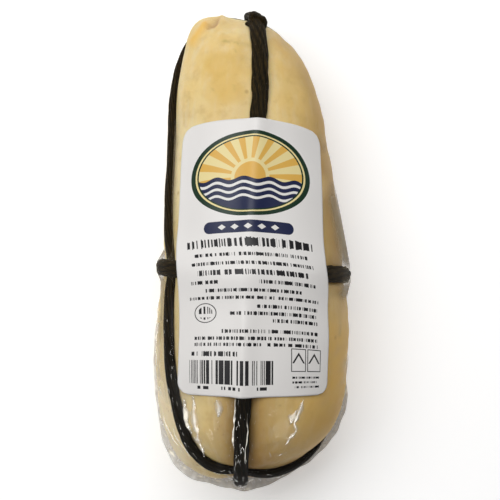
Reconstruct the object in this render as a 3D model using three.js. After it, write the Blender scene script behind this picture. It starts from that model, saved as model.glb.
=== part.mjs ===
// A smoked provola, tied with cord, sealed in clear film and labelled, lying on its back with the label up.
// Millimetres. +Y runs along the log towards its narrow end, +Z is up, and z = 0 is what it lies on.
import * as THREE from "three";
import { LoftGeometry } from "three/addons/geometries/LoftGeometry.js";

const { clamp, degToRad, lerp, smoothstep } = THREE.MathUtils;

// The cheese in its film
const LENGTH = 184.6; // end to end
const BELLY_WIDTH = 76.6; // where it is widest
const SHOULDER_WIDTH = 57; // towards the narrow end, before that rounds off
const BELLY_Y = -45; // where the belly lies along the log
const DEPTH_SHARE = 0.94; // its depth over its width
const SECTION_POWER = 2.1; // 2 is an ellipse, and more is squarer
const END_POWER = 2.4; // the same for the way the ends round off
const END_REACH = { blunt: 52, narrow: 46 }; // how far from each end the rounding starts
const REST_FLAT = 2.2; // how far the back is pressed flat
const LEAN_AT_BELLY = 2.6; // the log bows sideways, and this is how far its belly lies to the right
const LEAN_BOW = 6e-4; // how fast the bow grows, per mm
const LEAN_OF_BLUNT_END = 3.5; // the blunt end swings back to the left by this much
const KNOB = { x: -21.5, y: 86, z: 28, reach: 8.5, rise: 3.6 }; // a lump at the shoulder of the narrow end
const DIMPLE = { x: -13, y: 88, z: 36, reach: 5, rise: -2.4 }; // the fold beside it

// The cord
const CORD_SIDES = 8;
const CORD_THICK = 4.2;
const CORD_PROUD = 2.2; // how far it stands out of the cheese
const FRONT_WIDTH = { lower: 5.7, upper: 6.7 }; // of the front and back runs, at each crossing
const SIDE_CORD = { wide: 5.3, thick: 3.4, proud: 1.9 }; // the side runs are drawn tighter
const GIRDLE_WIDTH = 6.6;
const GIRDLE_ALONG = 79.2; // from the lower crossing to the girdle
const UPRIGHT = 5.6; // how far the rings shear, so that the girdle stands upright on the sloping line between crossings
const LOWER_CROSSING = { inside: 33.5, rise: 33, right: 0 }; // where the lengthwise cords cross: degrees above the end
const UPPER_CROSSING = { inside: 31, rise: -5, right: -3 };
const FAN_FROM = 26; // from the lower crossing to where the rings stop leaning towards it
// Degrees that the side runs lie above the line between the crossings, and that the front run lies to the left,
// each at a share of the way from the lower crossing to the upper one
const LEFT_RISE = [[0, 12], [0.12, 18], [0.28, 19], [0.42, 17], [0.6, 6], [0.78, 3], [0.88, -5], [1, -26]];
const RIGHT_RISE = [[0, -18], [0.06, -28], [0.15, -40], [0.28, -44], [0.5, -41], [0.8, -42], [1, -30]];
const FRONT_SWING = [[0, 0], [0.4, -1.8], [0.7, -6.2], [0.88, -9.4], [1, -7]];
const HITCH = { y: 89, thick: 2.2, wide: 1.6, reach: 4.5 }; // where the front loop is hitched, and how much it swells
const CROSSING_REACH = 7.5; // how far from a crossing the cords start to climb over each other
const CROSSING_PINCH = 0.78; // the share of its thickness that a cord keeps where another presses on it
const CROSSING_SHARE = { over: 0.62, under: 0.48 }; // how far each cord gives way at an end, of the height of two
const GIRDLE_SHARE = { over: 0.6, under: 0.4 }; // the same where the girdle crosses the lengthwise cords
const FRONT_SLOPE = 0.35; // the share of the log's sideways slope that the front and back runs take
const PRESSED_IN = 0.25; // how far under the surface a cord's top lies where the log rests on it
const CLEARANCE = 0.4; // between a cord and what it touches
const SHOULDER_DIP = 0.9; // how far the cheese gives beside a cord
const SHOULDER_REACH = 4.5;

// The label
const LABEL_WIDTH = 61;
const LABEL_LENGTH = 105.3;
const LABEL_CORNER = 5;
const LABEL_THICK = 0.35;
const LABEL_RADIUS = 34; // of the log under it
const LABEL_CENTRE = { across: 2.8, along: 81.3 }; // from the line between the crossings, and from the lower one
const LABEL_TURN = -1.4; // degrees
const LABEL_COLUMNS = 18;
const LABEL_ROWS = 24; // between its rounded corners
const LABEL_CORNER_STEPS = 4;
const LABEL_BRIDGE = 7.5; // how far beside a cord the label stays lifted

// Mesh steps
const FAN_ROWS = 9; // rings round each end
const FIRST_ROW = 0.35; // how far from a crossing the first of them lies, in steps between rings
const ROW_STEP = 6;
const BESIDE_CORD = [3.9, 5, 8.5, 13.5]; // where rings and columns lie beside a cord
const BESIDE_SHARE = [0.3, 0.42, 0.58, 0.75]; // the most of half a quarter that each may take, near an end
const UNDER_CORD = BESIDE_CORD[0] + 0.1; // what lies nearer a cord than this is under it

// The log: how wide, deep and high it is along Y, and where a ray from inside it comes out
function halfWidth(y) {
  return lerp(BELLY_WIDTH, SHOULDER_WIDTH, smoothstep(y, BELLY_Y, LENGTH / 2)) / 2;
}

function lean(y) {
  const swing = LEAN_OF_BLUNT_END * smoothstep(-y, LENGTH / 3, LENGTH / 2);
  return LEAN_AT_BELLY - LEAN_BOW * (y - BELLY_Y) ** 2 - swing;
}

function axisHeight(y) {
  return halfWidth(y) * DEPTH_SHARE - REST_FLAT;
}

// Below 1 inside the log, 1 on its surface
function bulk(p) {
  const across = Math.abs(p.x - lean(p.y)) / halfWidth(p.y);
  const up = Math.abs(p.z - axisHeight(p.y)) / (halfWidth(p.y) * DEPTH_SHARE);
  const section = (across ** SECTION_POWER + up ** SECTION_POWER) ** (END_POWER / SECTION_POWER);
  const reach = p.y < 0 ? END_REACH.blunt : END_REACH.narrow;
  const towardsEnd = Math.max(0, 1 - (LENGTH / 2 - Math.abs(p.y)) / reach);
  return section + towardsEnd ** END_POWER;
}

function lump({ x, y, z, reach, rise }, p) {
  return rise * Math.exp(-p.distanceToSquared(new THREE.Vector3(x, y, z)) / reach ** 2);
}

function surfaceAlong(origin, direction) {
  const p = new THREE.Vector3();
  let inside = 0;
  let outside = LENGTH;
  for (let halving = 0; halving < 40; halving++) {
    const middle = (inside + outside) / 2;
    p.copy(origin).addScaledVector(direction, middle);
    if (p.z > 0 && bulk(p) < 1) inside = middle;
    else outside = middle;
  }
  const uneven = lump(KNOB, p) + lump(DIMPLE, p);
  return p.addScaledVector(direction, uneven);
}

function outwardAt(p) {
  if (p.z < 0.01) return new THREE.Vector3(0, 0, -1);
  const slope = (axis) => {
    const step = new THREE.Vector3().setComponent(axis, 0.5);
    return bulk(p.clone().add(step)) - bulk(p.clone().sub(step));
  };
  return new THREE.Vector3(slope(0), slope(1), slope(2)).normalize();
}

// The tie: two lengthwise loops that cross at both ends, and a girdle round the middle
function crossing(end, { inside, rise, right }) {
  const y = end * (LENGTH / 2 - inside);
  const slope = degToRad(rise);
  const direction = new THREE.Vector3(0, end * Math.cos(slope), Math.sin(slope));
  return surfaceAlong(new THREE.Vector3(right, y, axisHeight(y)), direction);
}

const lowerCrossing = crossing(-1, LOWER_CROSSING);
const upperCrossing = crossing(1, UPPER_CROSSING);
const chord = upperCrossing.clone().sub(lowerCrossing);
const chordLength = chord.length();
const along = chord.clone().normalize();
const rightward = new THREE.Vector3(1, 0, 0);
const frontward = rightward.clone().cross(along);
const fanTo = chordLength - UPPER_CROSSING.inside; // where the rings start to lean towards the upper crossing

// A smooth line through the stops
function through(stops, share) {
  const last = stops.length - 1;
  const slope = (i) => {
    const [x0, y0] = stops[Math.max(0, i - 1)];
    const [x1, y1] = stops[Math.min(last, i + 1)];
    return (y1 - y0) / (x1 - x0);
  };
  const after = stops.findIndex(([x], i) => i > 0 && (share <= x || i === last));
  const [[x0, y0], [x1, y1]] = [stops[after - 1], stops[after]];
  const t = clamp((share - x0) / (x1 - x0), 0, 1);
  const bend = slope(after - 1) * (1 - t) - slope(after) * t;
  return lerp(y0, y1, t * t * (3 - 2 * t)) + (x1 - x0) * t * (1 - t) * bend;
}

// A ring round the log: rays leave the chord near one place, leaning towards an end by tilt
function ring(distance, tilt = 0) {
  const share = (distance + FAN_FROM * Math.sin(tilt)) / chordLength;
  const right = degToRad(through(RIGHT_RISE, share));
  const front = Math.PI / 2 + degToRad(through(FRONT_SWING, share));
  const left = Math.PI - degToRad(through(LEFT_RISE, share));
  return { distance, tilt, cordAngles: [right, front, left, (3 * Math.PI) / 2] };
}

function shear(distance) {
  return UPRIGHT * Math.sin(Math.PI * clamp((distance - FAN_FROM) / (fanTo - FAN_FROM), 0, 1));
}

function rayAt({ distance, tilt }, angle) {
  const origin = lowerCrossing.clone().addScaledVector(along, distance - shear(distance) * Math.sin(angle));
  const direction = new THREE.Vector3()
    .addScaledVector(rightward, Math.cos(angle) * Math.cos(tilt))
    .addScaledVector(frontward, Math.sin(angle) * Math.cos(tilt))
    .addScaledVector(along, Math.sin(tilt));
  const point = surfaceAlong(origin, direction);
  return { point, outward: outwardAt(point) };
}

// How far the surface runs for each radian round a ring
function arcRate(oneRing, angle) {
  const half = 0.02;
  const { point } = rayAt(oneRing, angle - half);
  return point.distanceTo(rayAt(oneRing, angle + half).point) / (2 * half);
}

function evenly(from, to, step) {
  const count = Math.round(Math.abs(to - from) / step);
  return Array.from({ length: count }, (_, i) => lerp(from, to, i / count));
}

function rings() {
  const besideGirdle = BESIDE_CORD.at(-1);
  const fan = Array.from({ length: FAN_ROWS + 1 }, (_, i) => ((i || FIRST_ROW) / (FAN_ROWS + 1)) * (Math.PI / 2));
  const middle = [
    ...evenly(FAN_FROM, GIRDLE_ALONG - besideGirdle, ROW_STEP),
    ...BESIDE_CORD.map((d) => GIRDLE_ALONG - d).reverse(),
    GIRDLE_ALONG,
    ...BESIDE_CORD.map((d) => GIRDLE_ALONG + d),
    ...evenly(fanTo, GIRDLE_ALONG + besideGirdle, ROW_STEP).reverse(),
  ];
  return [
    ...fan.map((tilt) => ring(FAN_FROM, tilt - Math.PI / 2)),
    ...middle.map((distance) => ring(distance)),
    ...fan.map((tilt) => ring(fanTo, Math.PI / 2 - tilt)).reverse(),
  ];
}

// The angles of a ring's columns: close together beside each cord, and wider in the middle of each quarter
function columnAngles(oneRing) {
  return oneRing.cordAngles.flatMap((angle, i, all) => {
    const next = i === 3 ? all[0] + 2 * Math.PI : all[i + 1];
    const half = (next - angle) / 2;
    const stepsFrom = (cordAngle) => {
      const rate = arcRate(oneRing, cordAngle);
      const steps = BESIDE_CORD.map((d, k) => Math.min(d / rate, BESIDE_SHARE[k] * half));
      return [0, ...steps, (steps.at(-1) + half) / 2];
    };
    const leaving = stepsFrom(angle).map((step) => angle + step);
    const meeting = stepsFrom(next).slice(1).map((step) => next - step).reverse();
    return [...leaving, angle + half, ...meeting];
  });
}

const rows = rings();
const RIGHT = 0;
const FRONT = 1;
const LEFT = 2;
const BACK = 3;

// The place on the front run where it is hitched
function findHitch() {
  let before = 0;
  let after = Math.PI / 2;
  const point = new THREE.Vector3();
  for (let halving = 0; halving < 30; halving++) {
    const tilt = (before + after) / 2;
    const end = ring(fanTo, tilt);
    point.copy(rayAt(end, end.cordAngles[FRONT]).point);
    if (point.y < HITCH.y) before = tilt;
    else after = tilt;
  }
  return point;
}

const hitch = findHitch();

// How nearly a place faces what the cheese lies on, where the cords are pressed in flush
function underneath(outward) {
  return smoothstep(-outward.z, 0.75, 0.95);
}

function nearGirdle(oneRing) {
  const apart = oneRing.tilt ? Infinity : oneRing.distance - GIRDLE_ALONG;
  return Math.exp(-((apart / CROSSING_REACH) ** 2));
}

function nearEnd(point) {
  const apart = Math.min(point.distanceTo(lowerCrossing), point.distanceTo(upperCrossing));
  return Math.exp(-((apart / CROSSING_REACH) ** 2));
}

// How thick a cord is, and how deep its middle lies under the surface. The girdle goes over the lengthwise
// loops, and at the ends the front loop goes over the side loop.
const STACKED = CORD_THICK * CROSSING_PINCH + CLEARANCE;

function lengthwiseLie(oneRing, cord, { point, outward }) {
  const girdled = nearGirdle(oneRing);
  const atEnd = nearEnd(point);
  const under = underneath(outward);
  const goesOver = cord === FRONT || cord === BACK;
  const endDepth = STACKED * (goesOver ? -CROSSING_SHARE.over : CROSSING_SHARE.under);
  const girdleDepth = STACKED * lerp(GIRDLE_SHARE.under, 1, under);
  const knotted = cord === FRONT ? Math.exp(-((point.distanceTo(hitch) / HITCH.reach) ** 2)) : 0;
  const share = clamp(oneRing.distance / chordLength, 0, 1);
  const wide = goesOver ? lerp(FRONT_WIDTH.lower, FRONT_WIDTH.upper, share) : SIDE_CORD.wide;
  const thick = goesOver ? CORD_THICK : SIDE_CORD.thick;
  const proud = goesOver ? CORD_PROUD : SIDE_CORD.proud;
  const pinched = thick * lerp(1, CROSSING_PINCH, Math.max(girdled, atEnd));
  const pressed = thick / 2 + lerp(-proud, PRESSED_IN, under) + girdleDepth * girdled + endDepth * atEnd;
  return {
    wide: wide + HITCH.wide * knotted,
    thick: pinched + HITCH.thick * knotted,
    depth: pressed - (HITCH.thick / 2) * knotted,
  };
}

function girdleLie(oneRing, { point, outward }) {
  const apart = oneRing.cordAngles.map((cordAngle) => point.distanceTo(rayAt(oneRing, cordAngle).point));
  const crossed = Math.exp(-((Math.min(...apart) / CROSSING_REACH) ** 2));
  const under = underneath(outward);
  const thick = CORD_THICK * lerp(1, CROSSING_PINCH, crossed);
  const climb = STACKED * GIRDLE_SHARE.over * crossed;
  const depth = CORD_THICK / 2 + lerp(-CORD_PROUD - climb, PRESSED_IN, under);
  return { wide: GIRDLE_WIDTH, thick, depth };
}

// A closed loop of cord, flattened where it lies on the cheese
function cordGeometry(runs) {
  const centres = runs.map(({ point, outward, depth }) => point.clone().addScaledVector(outward, -depth));
  const sections = runs.map(({ outward, wide, thick }, i) => {
    const before = centres[(i + runs.length - 1) % runs.length];
    const after = centres[(i + 1) % runs.length];
    const tangent = after.clone().sub(before).normalize();
    const side = outward.clone().cross(tangent).normalize();
    const out = tangent.clone().cross(side);
    return Array.from({ length: CORD_SIDES }, (_, k) => {
      const turn = ((k + 0.5) / CORD_SIDES) * 2 * Math.PI;
      return centres[i]
        .clone()
        .addScaledVector(side, (Math.cos(turn) * wide) / 2)
        .addScaledVector(out, (Math.sin(turn) * thick) / 2);
    });
  });
  return new LoftGeometry([...sections, sections[0]]);
}

// The front and back runs stay upright where the log slopes away sideways
function lengthwisePlace(oneRing, cord, { point, outward }) {
  const slope = cord === FRONT || cord === BACK ? FRONT_SLOPE : 1;
  const out = outward.clone().setX(outward.x * slope).normalize();
  return { point, outward: out, ...lengthwiseLie(oneRing, cord, { point, outward: out }) };
}

function lengthwiseRun(cord) {
  const inner = rows.slice(1, -1);
  return inner.map((oneRing) => lengthwisePlace(oneRing, cord, rayAt(oneRing, oneRing.cordAngles[cord])));
}

function atCrossing(point, cord) {
  return lengthwisePlace(rows[0], cord, { point, outward: outwardAt(point) });
}

function lengthwiseLoop(up, down) {
  return cordGeometry([
    atCrossing(lowerCrossing, up),
    ...lengthwiseRun(up),
    atCrossing(upperCrossing, up),
    ...lengthwiseRun(down).reverse(),
  ]);
}

function girdleLoop() {
  const girdleRing = ring(GIRDLE_ALONG);
  return cordGeometry(
    columnAngles(girdleRing).map((angle) => {
      const ray = rayAt(girdleRing, angle);
      return { ...ray, ...girdleLie(girdleRing, ray) };
    }),
  );
}

// The cheese gives way under a cord and dips a little beside it, except where it lies flat
function channel(apart, { thick, depth, outward }) {
  if (apart < UNDER_CORD) return Math.max(0, depth + thick / 2 + CLEARANCE);
  const beside = (apart - BESIDE_CORD[0]) / SHOULDER_REACH;
  return SHOULDER_DIP * (1 - underneath(outward)) * Math.exp(-(beside ** 2));
}

function cheeseGeometry() {
  const girdleRing = ring(GIRDLE_ALONG);
  const sections = rows.map((oneRing, i) => {
    const underCrossing = Math.min(i, rows.length - 1 - i) < 2;
    const pit = channel(0, atCrossing(i < 2 ? lowerCrossing : upperCrossing, RIGHT));
    const runs = oneRing.cordAngles.map((angle, cord) => lengthwisePlace(oneRing, cord, rayAt(oneRing, angle)));
    const girdleApart = oneRing.tilt ? Infinity : Math.abs(oneRing.distance - GIRDLE_ALONG);
    const angles = columnAngles(oneRing).reverse();
    return angles.map((angle) => {
      const { point, outward } = rayAt(oneRing, angle);
      const dips = runs.map((run) => channel(point.distanceTo(run.point), { ...run, outward }));
      const girdle = girdleLie(girdleRing, rayAt(girdleRing, angle));
      const dip = underCrossing ? pit : Math.max(...dips, channel(girdleApart, { ...girdle, outward }));
      return point.addScaledVector(outward, -dip);
    });
  });
  return new LoftGeometry(sections, { capStart: true, capEnd: true });
}

// The sheared ring that passes a place along the chord where the ray's sine is as given
function ringThrough(place, sine) {
  let distance = place;
  for (let pass = 0; pass < 6; pass++) distance = place + shear(distance) * sine;
  return ring(distance);
}

// The label: a sheet that follows the log and is lifted over the cords
function labelPoint(across, lengthways, lift) {
  const turn = degToRad(LABEL_TURN);
  const sideways = LABEL_CENTRE.across + across * Math.cos(turn) + lengthways * Math.sin(turn);
  const forward = LABEL_CENTRE.along + lengthways * Math.cos(turn) - across * Math.sin(turn);
  const frontAt = (place) => rayAt(ringThrough(place, 1), Math.PI / 2).point;
  const taper = (frontAt(forward + 1).z - frontAt(forward - 1).z) / 2;
  const droop = (taper * sideways ** 2) / (2 * LABEL_RADIUS);
  const bent = ringThrough(forward + droop, Math.cos(sideways / LABEL_RADIUS));
  let angle = Math.PI / 2;
  const steps = 6;
  for (let i = 0; i < steps; i++) angle -= sideways / steps / arcRate(bent, angle);
  const { point, outward } = rayAt(bent, angle);
  const overRuns = [FRONT, LEFT].map((cord) => {
    const apart = point.distanceTo(rayAt(bent, bent.cordAngles[cord]).point);
    return CORD_PROUD * Math.exp(-((apart / LABEL_BRIDGE) ** 2));
  });
  const overGirdle = Math.exp(-(((bent.distance - GIRDLE_ALONG) / LABEL_BRIDGE) ** 2));
  const girdle = girdleLie(bent, { point, outward });
  const girdleTop = girdle.thick / 2 - girdle.depth;
  const bump = Math.max(...overRuns, girdleTop * overGirdle);
  return point.addScaledVector(outward, bump + CLEARANCE + lift);
}

function labelGeometry() {
  const straight = LABEL_LENGTH / 2 - LABEL_CORNER;
  const turns = Array.from({ length: LABEL_CORNER_STEPS }, (_, i) => degToRad((90 * (i + 1)) / LABEL_CORNER_STEPS));
  const cornerRows = turns.map((turn) => ({
    lengthways: straight + LABEL_CORNER * Math.sin(turn),
    half: LABEL_WIDTH / 2 - LABEL_CORNER * (1 - Math.cos(turn)),
  }));
  const straightRows = Array.from({ length: LABEL_ROWS + 1 }, (_, i) => ({
    lengthways: straight * ((2 * i) / LABEL_ROWS - 1),
    half: LABEL_WIDTH / 2,
  }));
  const lowerRows = cornerRows.map(({ lengthways, half }) => ({ lengthways: -lengthways, half }));
  const sections = [...lowerRows.reverse(), ...straightRows, ...cornerRows].map(({ lengthways, half }) => {
    const acrosses = Array.from({ length: LABEL_COLUMNS + 1 }, (_, k) => half * ((2 * k) / LABEL_COLUMNS - 1));
    const upper = acrosses.map((across) => labelPoint(across, lengthways, LABEL_THICK));
    const lower = acrosses.map((across) => labelPoint(across, lengthways, 0));
    return [...upper, ...lower.reverse()];
  });
  return new LoftGeometry(sections, { capStart: true, capEnd: true });
}

// The pieces
const materials = {
  cheese: new THREE.MeshStandardMaterial({ color: 0xdcbb7d, roughness: 0.3, metalness: 0 }),
  cord: new THREE.MeshStandardMaterial({ color: 0x2b2415, roughness: 0.6, metalness: 0 }),
  paper: new THREE.MeshStandardMaterial({ color: 0xe6e3e2, roughness: 0.45, metalness: 0 }),
};

function piece(name, geometry, material) {
  const mesh = new THREE.Mesh(geometry, material);
  mesh.name = name;
  return mesh;
}

const provola = new THREE.Group();
provola.add(
  piece("packed_cheese", cheeseGeometry(), materials.cheese),
  piece("cord_front_back", lengthwiseLoop(FRONT, BACK), materials.cord),
  piece("cord_sides", lengthwiseLoop(RIGHT, LEFT), materials.cord),
  piece("cord_girdle", girdleLoop(), materials.cord),
  piece("label", labelGeometry(), materials.paper),
);

// The middle of the whole lies over the origin
const middle = new THREE.Box3().setFromObject(provola).getCenter(new THREE.Vector3());
provola.position.set(-middle.x, -middle.y, 0);

export default provola;
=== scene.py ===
import math
import bpy
import numpy as np
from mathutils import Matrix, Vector
from mathutils.bvhtree import BVHTree


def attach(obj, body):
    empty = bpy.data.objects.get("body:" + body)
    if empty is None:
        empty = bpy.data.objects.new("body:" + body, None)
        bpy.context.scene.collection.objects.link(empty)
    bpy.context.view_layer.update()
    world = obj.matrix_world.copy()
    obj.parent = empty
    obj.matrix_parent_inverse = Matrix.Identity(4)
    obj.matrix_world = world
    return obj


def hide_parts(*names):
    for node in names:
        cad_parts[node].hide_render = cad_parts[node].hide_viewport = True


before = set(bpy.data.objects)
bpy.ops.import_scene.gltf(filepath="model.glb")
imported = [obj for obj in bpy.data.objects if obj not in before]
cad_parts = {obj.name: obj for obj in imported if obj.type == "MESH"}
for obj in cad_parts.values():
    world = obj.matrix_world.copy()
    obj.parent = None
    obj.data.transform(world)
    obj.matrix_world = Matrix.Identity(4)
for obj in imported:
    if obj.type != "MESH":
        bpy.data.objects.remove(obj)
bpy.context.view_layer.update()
dice = np.random.default_rng(41)
fullTurn = 2 * math.pi
anyPhase = 6.3  # random phases are drawn over a full turn
farAway, nothing = 99.0, -9.0  # mm: out of a cord's reach, and below any surface

# Shape sums are in millimetres in the log's own frame; toFrame gives metres in the part's frame
log = dict(
    length=184.6, bellyWidth=76.6, shoulderWidth=57.0, bellyY=-45.0, depthShare=0.94,
    sectionPower=2.1, endPower=2.4, bluntReach=52.0, narrowReach=46.0, restFlat=2.2,
    leanAtBelly=2.6, leanBow=6e-4, leanOfBluntEnd=3.5,
    knob=(-21.5, 86.0, 28.0, 8.5, 3.6), fold=(-13.0, 88.0, 36.0, 5.0, -2.4),  # x, y, z, reach, rise
    middle=(1.5695, 0.7576, 0.0),  # where the part's origin lies
    resting=(-0.75, -0.95),  # how far down the surface faces where it starts to rest, and where it rests
    halvings=34, slopeStep=0.5, flatFade=1.2,
)
tie = dict(
    width=(5.7, 6.7), thick=4.2, proud=2.2,  # front and back runs: width at the lower and at the narrow end
    sideWidth=5.3, sideThick=3.4, sideProud=1.9, girdleWidth=6.6, girdleAlong=79.2,
    # mm inside each end, degrees above it, mm to the right
    lower=(33.5, 33.0, 0.0), upper=(31.0, -5.0, -3.0),
    fanFrom=26.0,  # where the rings start to lean towards the lower end
    # share of the way along, then degrees
    leftRise=((0.0, 12.0), (0.12, 18.0), (0.28, 19.0), (0.42, 17.0), (0.6, 6.0), (0.78, 3.0),
              (0.88, -5.0), (1.0, -26.0)),
    rightRise=((0.0, -18.0), (0.06, -28.0), (0.15, -40.0), (0.28, -44.0), (0.5, -41.0), (0.8, -42.0),
               (1.0, -30.0)),
    frontSwing=((0.0, 0.0), (0.4, -1.8), (0.7, -6.2), (0.88, -9.4), (1.0, -7.0)),
    upright=5.6,  # how far the rings shear, so that the girdle stands upright
    reach=7.5, pinch=0.78, clearance=0.4, flushGap=0.25,
    # how far cords give way where they cross, as shares of a pinched cord's thickness and its clearance
    underGirdle=0.4, girdleOver=0.6, overAtEnd=0.62, underAtEnd=0.48,
    # how the cheese gives beside a cord
    dip=0.9, dipFrom=3.6, dipReach=4.5, hollowSide=0.3, hollowFloor=0.12,
)
grid = dict(fan=30, steepest=88.0, step=1.15, quarter=56, crowding=0.45)


def toFrame(points):
    return (np.asarray(points) - log["middle"]) * 0.001


def smooth(x, low, high):
    t = np.clip((x - low) / (high - low), 0.0, 1.0)
    return t * t * (3 - 2 * t)


def mixed(a, b, share):
    return a + (b - a) * share


def near(distance, reach):
    return np.exp(-((distance / reach) ** 2))


def unit(v):
    return v / np.linalg.norm(v, axis=-1, keepdims=True)


def apart(a, b):
    return np.linalg.norm(a - b, axis=-1)


def runLength(path):
    return np.concatenate([[0], np.cumsum(apart(path[1:], path[:-1]))])


def resampled(places, knots, values):
    if values.ndim == 1:
        return np.interp(places, knots, values)
    return np.stack([np.interp(places, knots, v) for v in values.T], -1)


def through(stops, share):
    x, y = np.array(stops).T
    slope = np.gradient(y, x)
    k = np.clip(np.searchsorted(x, share) - 1, 0, len(x) - 2)
    wide = x[k + 1] - x[k]
    t = np.clip((share - x[k]) / wide, 0, 1)
    bow = wide * t * (1 - t) * (slope[k] * (1 - t) - slope[k + 1] * t)
    return mixed(y[k], y[k + 1], smooth(t, 0, 1)) + bow


def wander(p, scale, seed, waves=7):
    total, luck = np.zeros(p.shape[:-1]), np.random.default_rng(seed)
    for wave in range(waves):
        way = unit(luck.normal(size=3)) * (0.6 + 0.9 * luck.random()) * fullTurn / scale
        total += np.sin(p @ way + luck.random() * anyPhase)
    return total / waves ** 0.5


def waved(p, height, scale, seed):
    return height * wander(p, scale, seed)


# The log's surface, as in the solids
def halfWidth(y):
    return mixed(log["bellyWidth"], log["shoulderWidth"], smooth(y, log["bellyY"], log["length"] / 2)) / 2


def lean(y):
    swing = log["leanOfBluntEnd"] * smooth(-y, log["length"] / 3, log["length"] / 2)
    return log["leanAtBelly"] - log["leanBow"] * (y - log["bellyY"]) ** 2 - swing


def axisHeight(y):
    return halfWidth(y) * log["depthShare"] - log["restFlat"]


def bulk(p):
    x, y, z = p[..., 0], p[..., 1], p[..., 2]
    half, power = halfWidth(y), log["sectionPower"]
    across = np.abs(x - lean(y)) / half
    up = np.abs(z - axisHeight(y)) / (half * log["depthShare"])
    reach = np.where(y < 0, log["bluntReach"], log["narrowReach"])
    towardsEnd = np.clip(1 - (log["length"] / 2 - np.abs(y)) / reach, 0, None)
    return (across ** power + up ** power) ** (log["endPower"] / power) + towardsEnd ** log["endPower"]


def lump(place, p):
    return place[4] * np.exp(-((p - np.array(place[:3])) ** 2).sum(-1) / place[3] ** 2)


def surfaceAlong(origin, direction):
    inside = np.zeros(direction.shape[:-1])
    outside = np.full_like(inside, log["length"])
    for halving in range(log["halvings"]):
        middle = (inside + outside) / 2
        p = origin + direction * middle[..., None]
        within = (p[..., 2] > 0) & (bulk(p) < 1)
        inside, outside = np.where(within, middle, inside), np.where(within, outside, middle)
    return p + direction * (lump(log["knob"], p) + lump(log["fold"], p))[..., None]


def outwardAt(p):
    slope = np.stack([bulk(p + s) - bulk(p - s) for s in np.eye(3) * log["slopeStep"]], -1)
    lying = smooth(p[..., 2:3], 0.0, log["flatFade"])
    return unit(mixed(np.array([0.0, 0.0, -1.0]), unit(slope), lying))


def underneath(outward):
    return smooth(outward[..., 2], *log["resting"])


# Rings round the line between the two crossings of the cord
def crossing(end, inside, rise, right):
    y, slope = end * (log["length"] / 2 - inside), math.radians(rise)
    start = np.array([right, y, float(axisHeight(y))])
    return surfaceAlong(start, np.array([0.0, end * math.cos(slope), math.sin(slope)]))


lowerCrossing, upperCrossing = crossing(-1, *tie["lower"]), crossing(1, *tie["upper"])
chordLength = float(apart(upperCrossing, lowerCrossing))
along = (upperCrossing - lowerCrossing) / chordLength
rightward = np.array([1.0, 0.0, 0.0])
frontward = np.cross(rightward, along)
levelFrom, levelTo = tie["fanFrom"], chordLength - tie["upper"][0]  # between these the rings stand upright


def cordAngles(distance, tilt):
    share = (distance + tie["fanFrom"] * np.sin(tilt)) / chordLength
    right, left = through(tie["rightRise"], share), 180 - through(tie["leftRise"], share)
    return np.radians(np.stack([right, 90 + through(tie["frontSwing"], share), left, 270 + 0 * share], -1))


def shear(distance):
    return tie["upright"] * np.sin(math.pi * np.clip((distance - levelFrom) / (levelTo - levelFrom), 0, 1))


def raysAt(distance, tilt, angle):
    origin = lowerCrossing + along * (distance - shear(distance) * np.sin(angle))[..., None]
    level = np.cos(angle)[..., None] * rightward + np.sin(angle)[..., None] * frontward
    direction = level * np.cos(tilt)[..., None] + along * np.sin(tilt)[..., None]
    point = surfaceAlong(origin, direction)
    return point, outwardAt(point)


def ringPlaces():
    fan = grid["fan"]
    swing = np.radians(90) * (1 - np.arange(1, fan + 1) / (fan + 1.0))
    swing[0] = np.radians(grid["steepest"])
    level = np.linspace(levelFrom, levelTo, int(round((levelTo - levelFrom) / grid["step"])))
    distance = np.concatenate([np.full(fan, levelFrom), level, np.full(fan, levelTo)])
    return distance, np.concatenate([-swing, np.zeros(len(level)), swing[::-1]])


# How each cord lies: width, thickness and the depth of its middle under the surface
stacked = tie["thick"] * tie["pinch"] + tie["clearance"]
sunk, flush = tie["thick"] / 2 - tie["proud"], tie["thick"] / 2 + tie["flushGap"]
sideSunk, sideFlush = tie["sideThick"] / 2 - tie["sideProud"], tie["sideThick"] / 2 + tie["flushGap"]


def lengthwiseLie(distance, tilt, goesOver, point, outward):
    girdled = np.where(tilt == 0, near(distance - tie["girdleAlong"], tie["reach"]), 0)
    atEnd = near(np.minimum(apart(point, lowerCrossing), apart(point, upperCrossing)), tie["reach"])
    under = underneath(outward)
    if goesOver:
        wide, thick = mixed(*tie["width"], np.clip(distance / chordLength, 0, 1)), tie["thick"]
        depth, endDepth = mixed(sunk, flush, under), -stacked * tie["overAtEnd"]
    else:
        wide, thick = tie["sideWidth"], tie["sideThick"]
        depth, endDepth = mixed(sideSunk, sideFlush, under), stacked * tie["underAtEnd"]
    thick = thick * mixed(1, tie["pinch"], np.maximum(girdled, atEnd))
    depth = depth + mixed(stacked * tie["underGirdle"], stacked, under) * girdled + endDepth * atEnd
    return wide + 0 * thick, thick, depth


def girdleLie(crossed, outward):
    thick = tie["thick"] * mixed(1, tie["pinch"], crossed)
    depth = mixed(sunk - stacked * tie["girdleOver"] * crossed, flush, underneath(outward))
    return tie["girdleWidth"] + 0 * thick, thick, depth


ringAlong, ringTilt = ringPlaces()
ringAngles = cordAngles(ringAlong, ringTilt)
share = np.arange(grid["quarter"]) / grid["quarter"]
share = share - grid["crowding"] * np.sin(fullTurn * share) / fullTurn  # closer together beside the cords
starts = np.concatenate([ringAngles, ringAngles[:, :1] + fullTurn], 1)
columns = np.concatenate([mixed(starts[:, q:q + 1], starts[:, q + 1:q + 2], share) for q in range(4)], 1)
tall, around = columns.shape
base, outward = raysAt(ringAlong[:, None] + 0 * columns, ringTilt[:, None] + 0 * columns, columns)
under = underneath(outward)
frontColumn = grid["quarter"]
print("log surface:", tall, "rings of", around)

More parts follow.
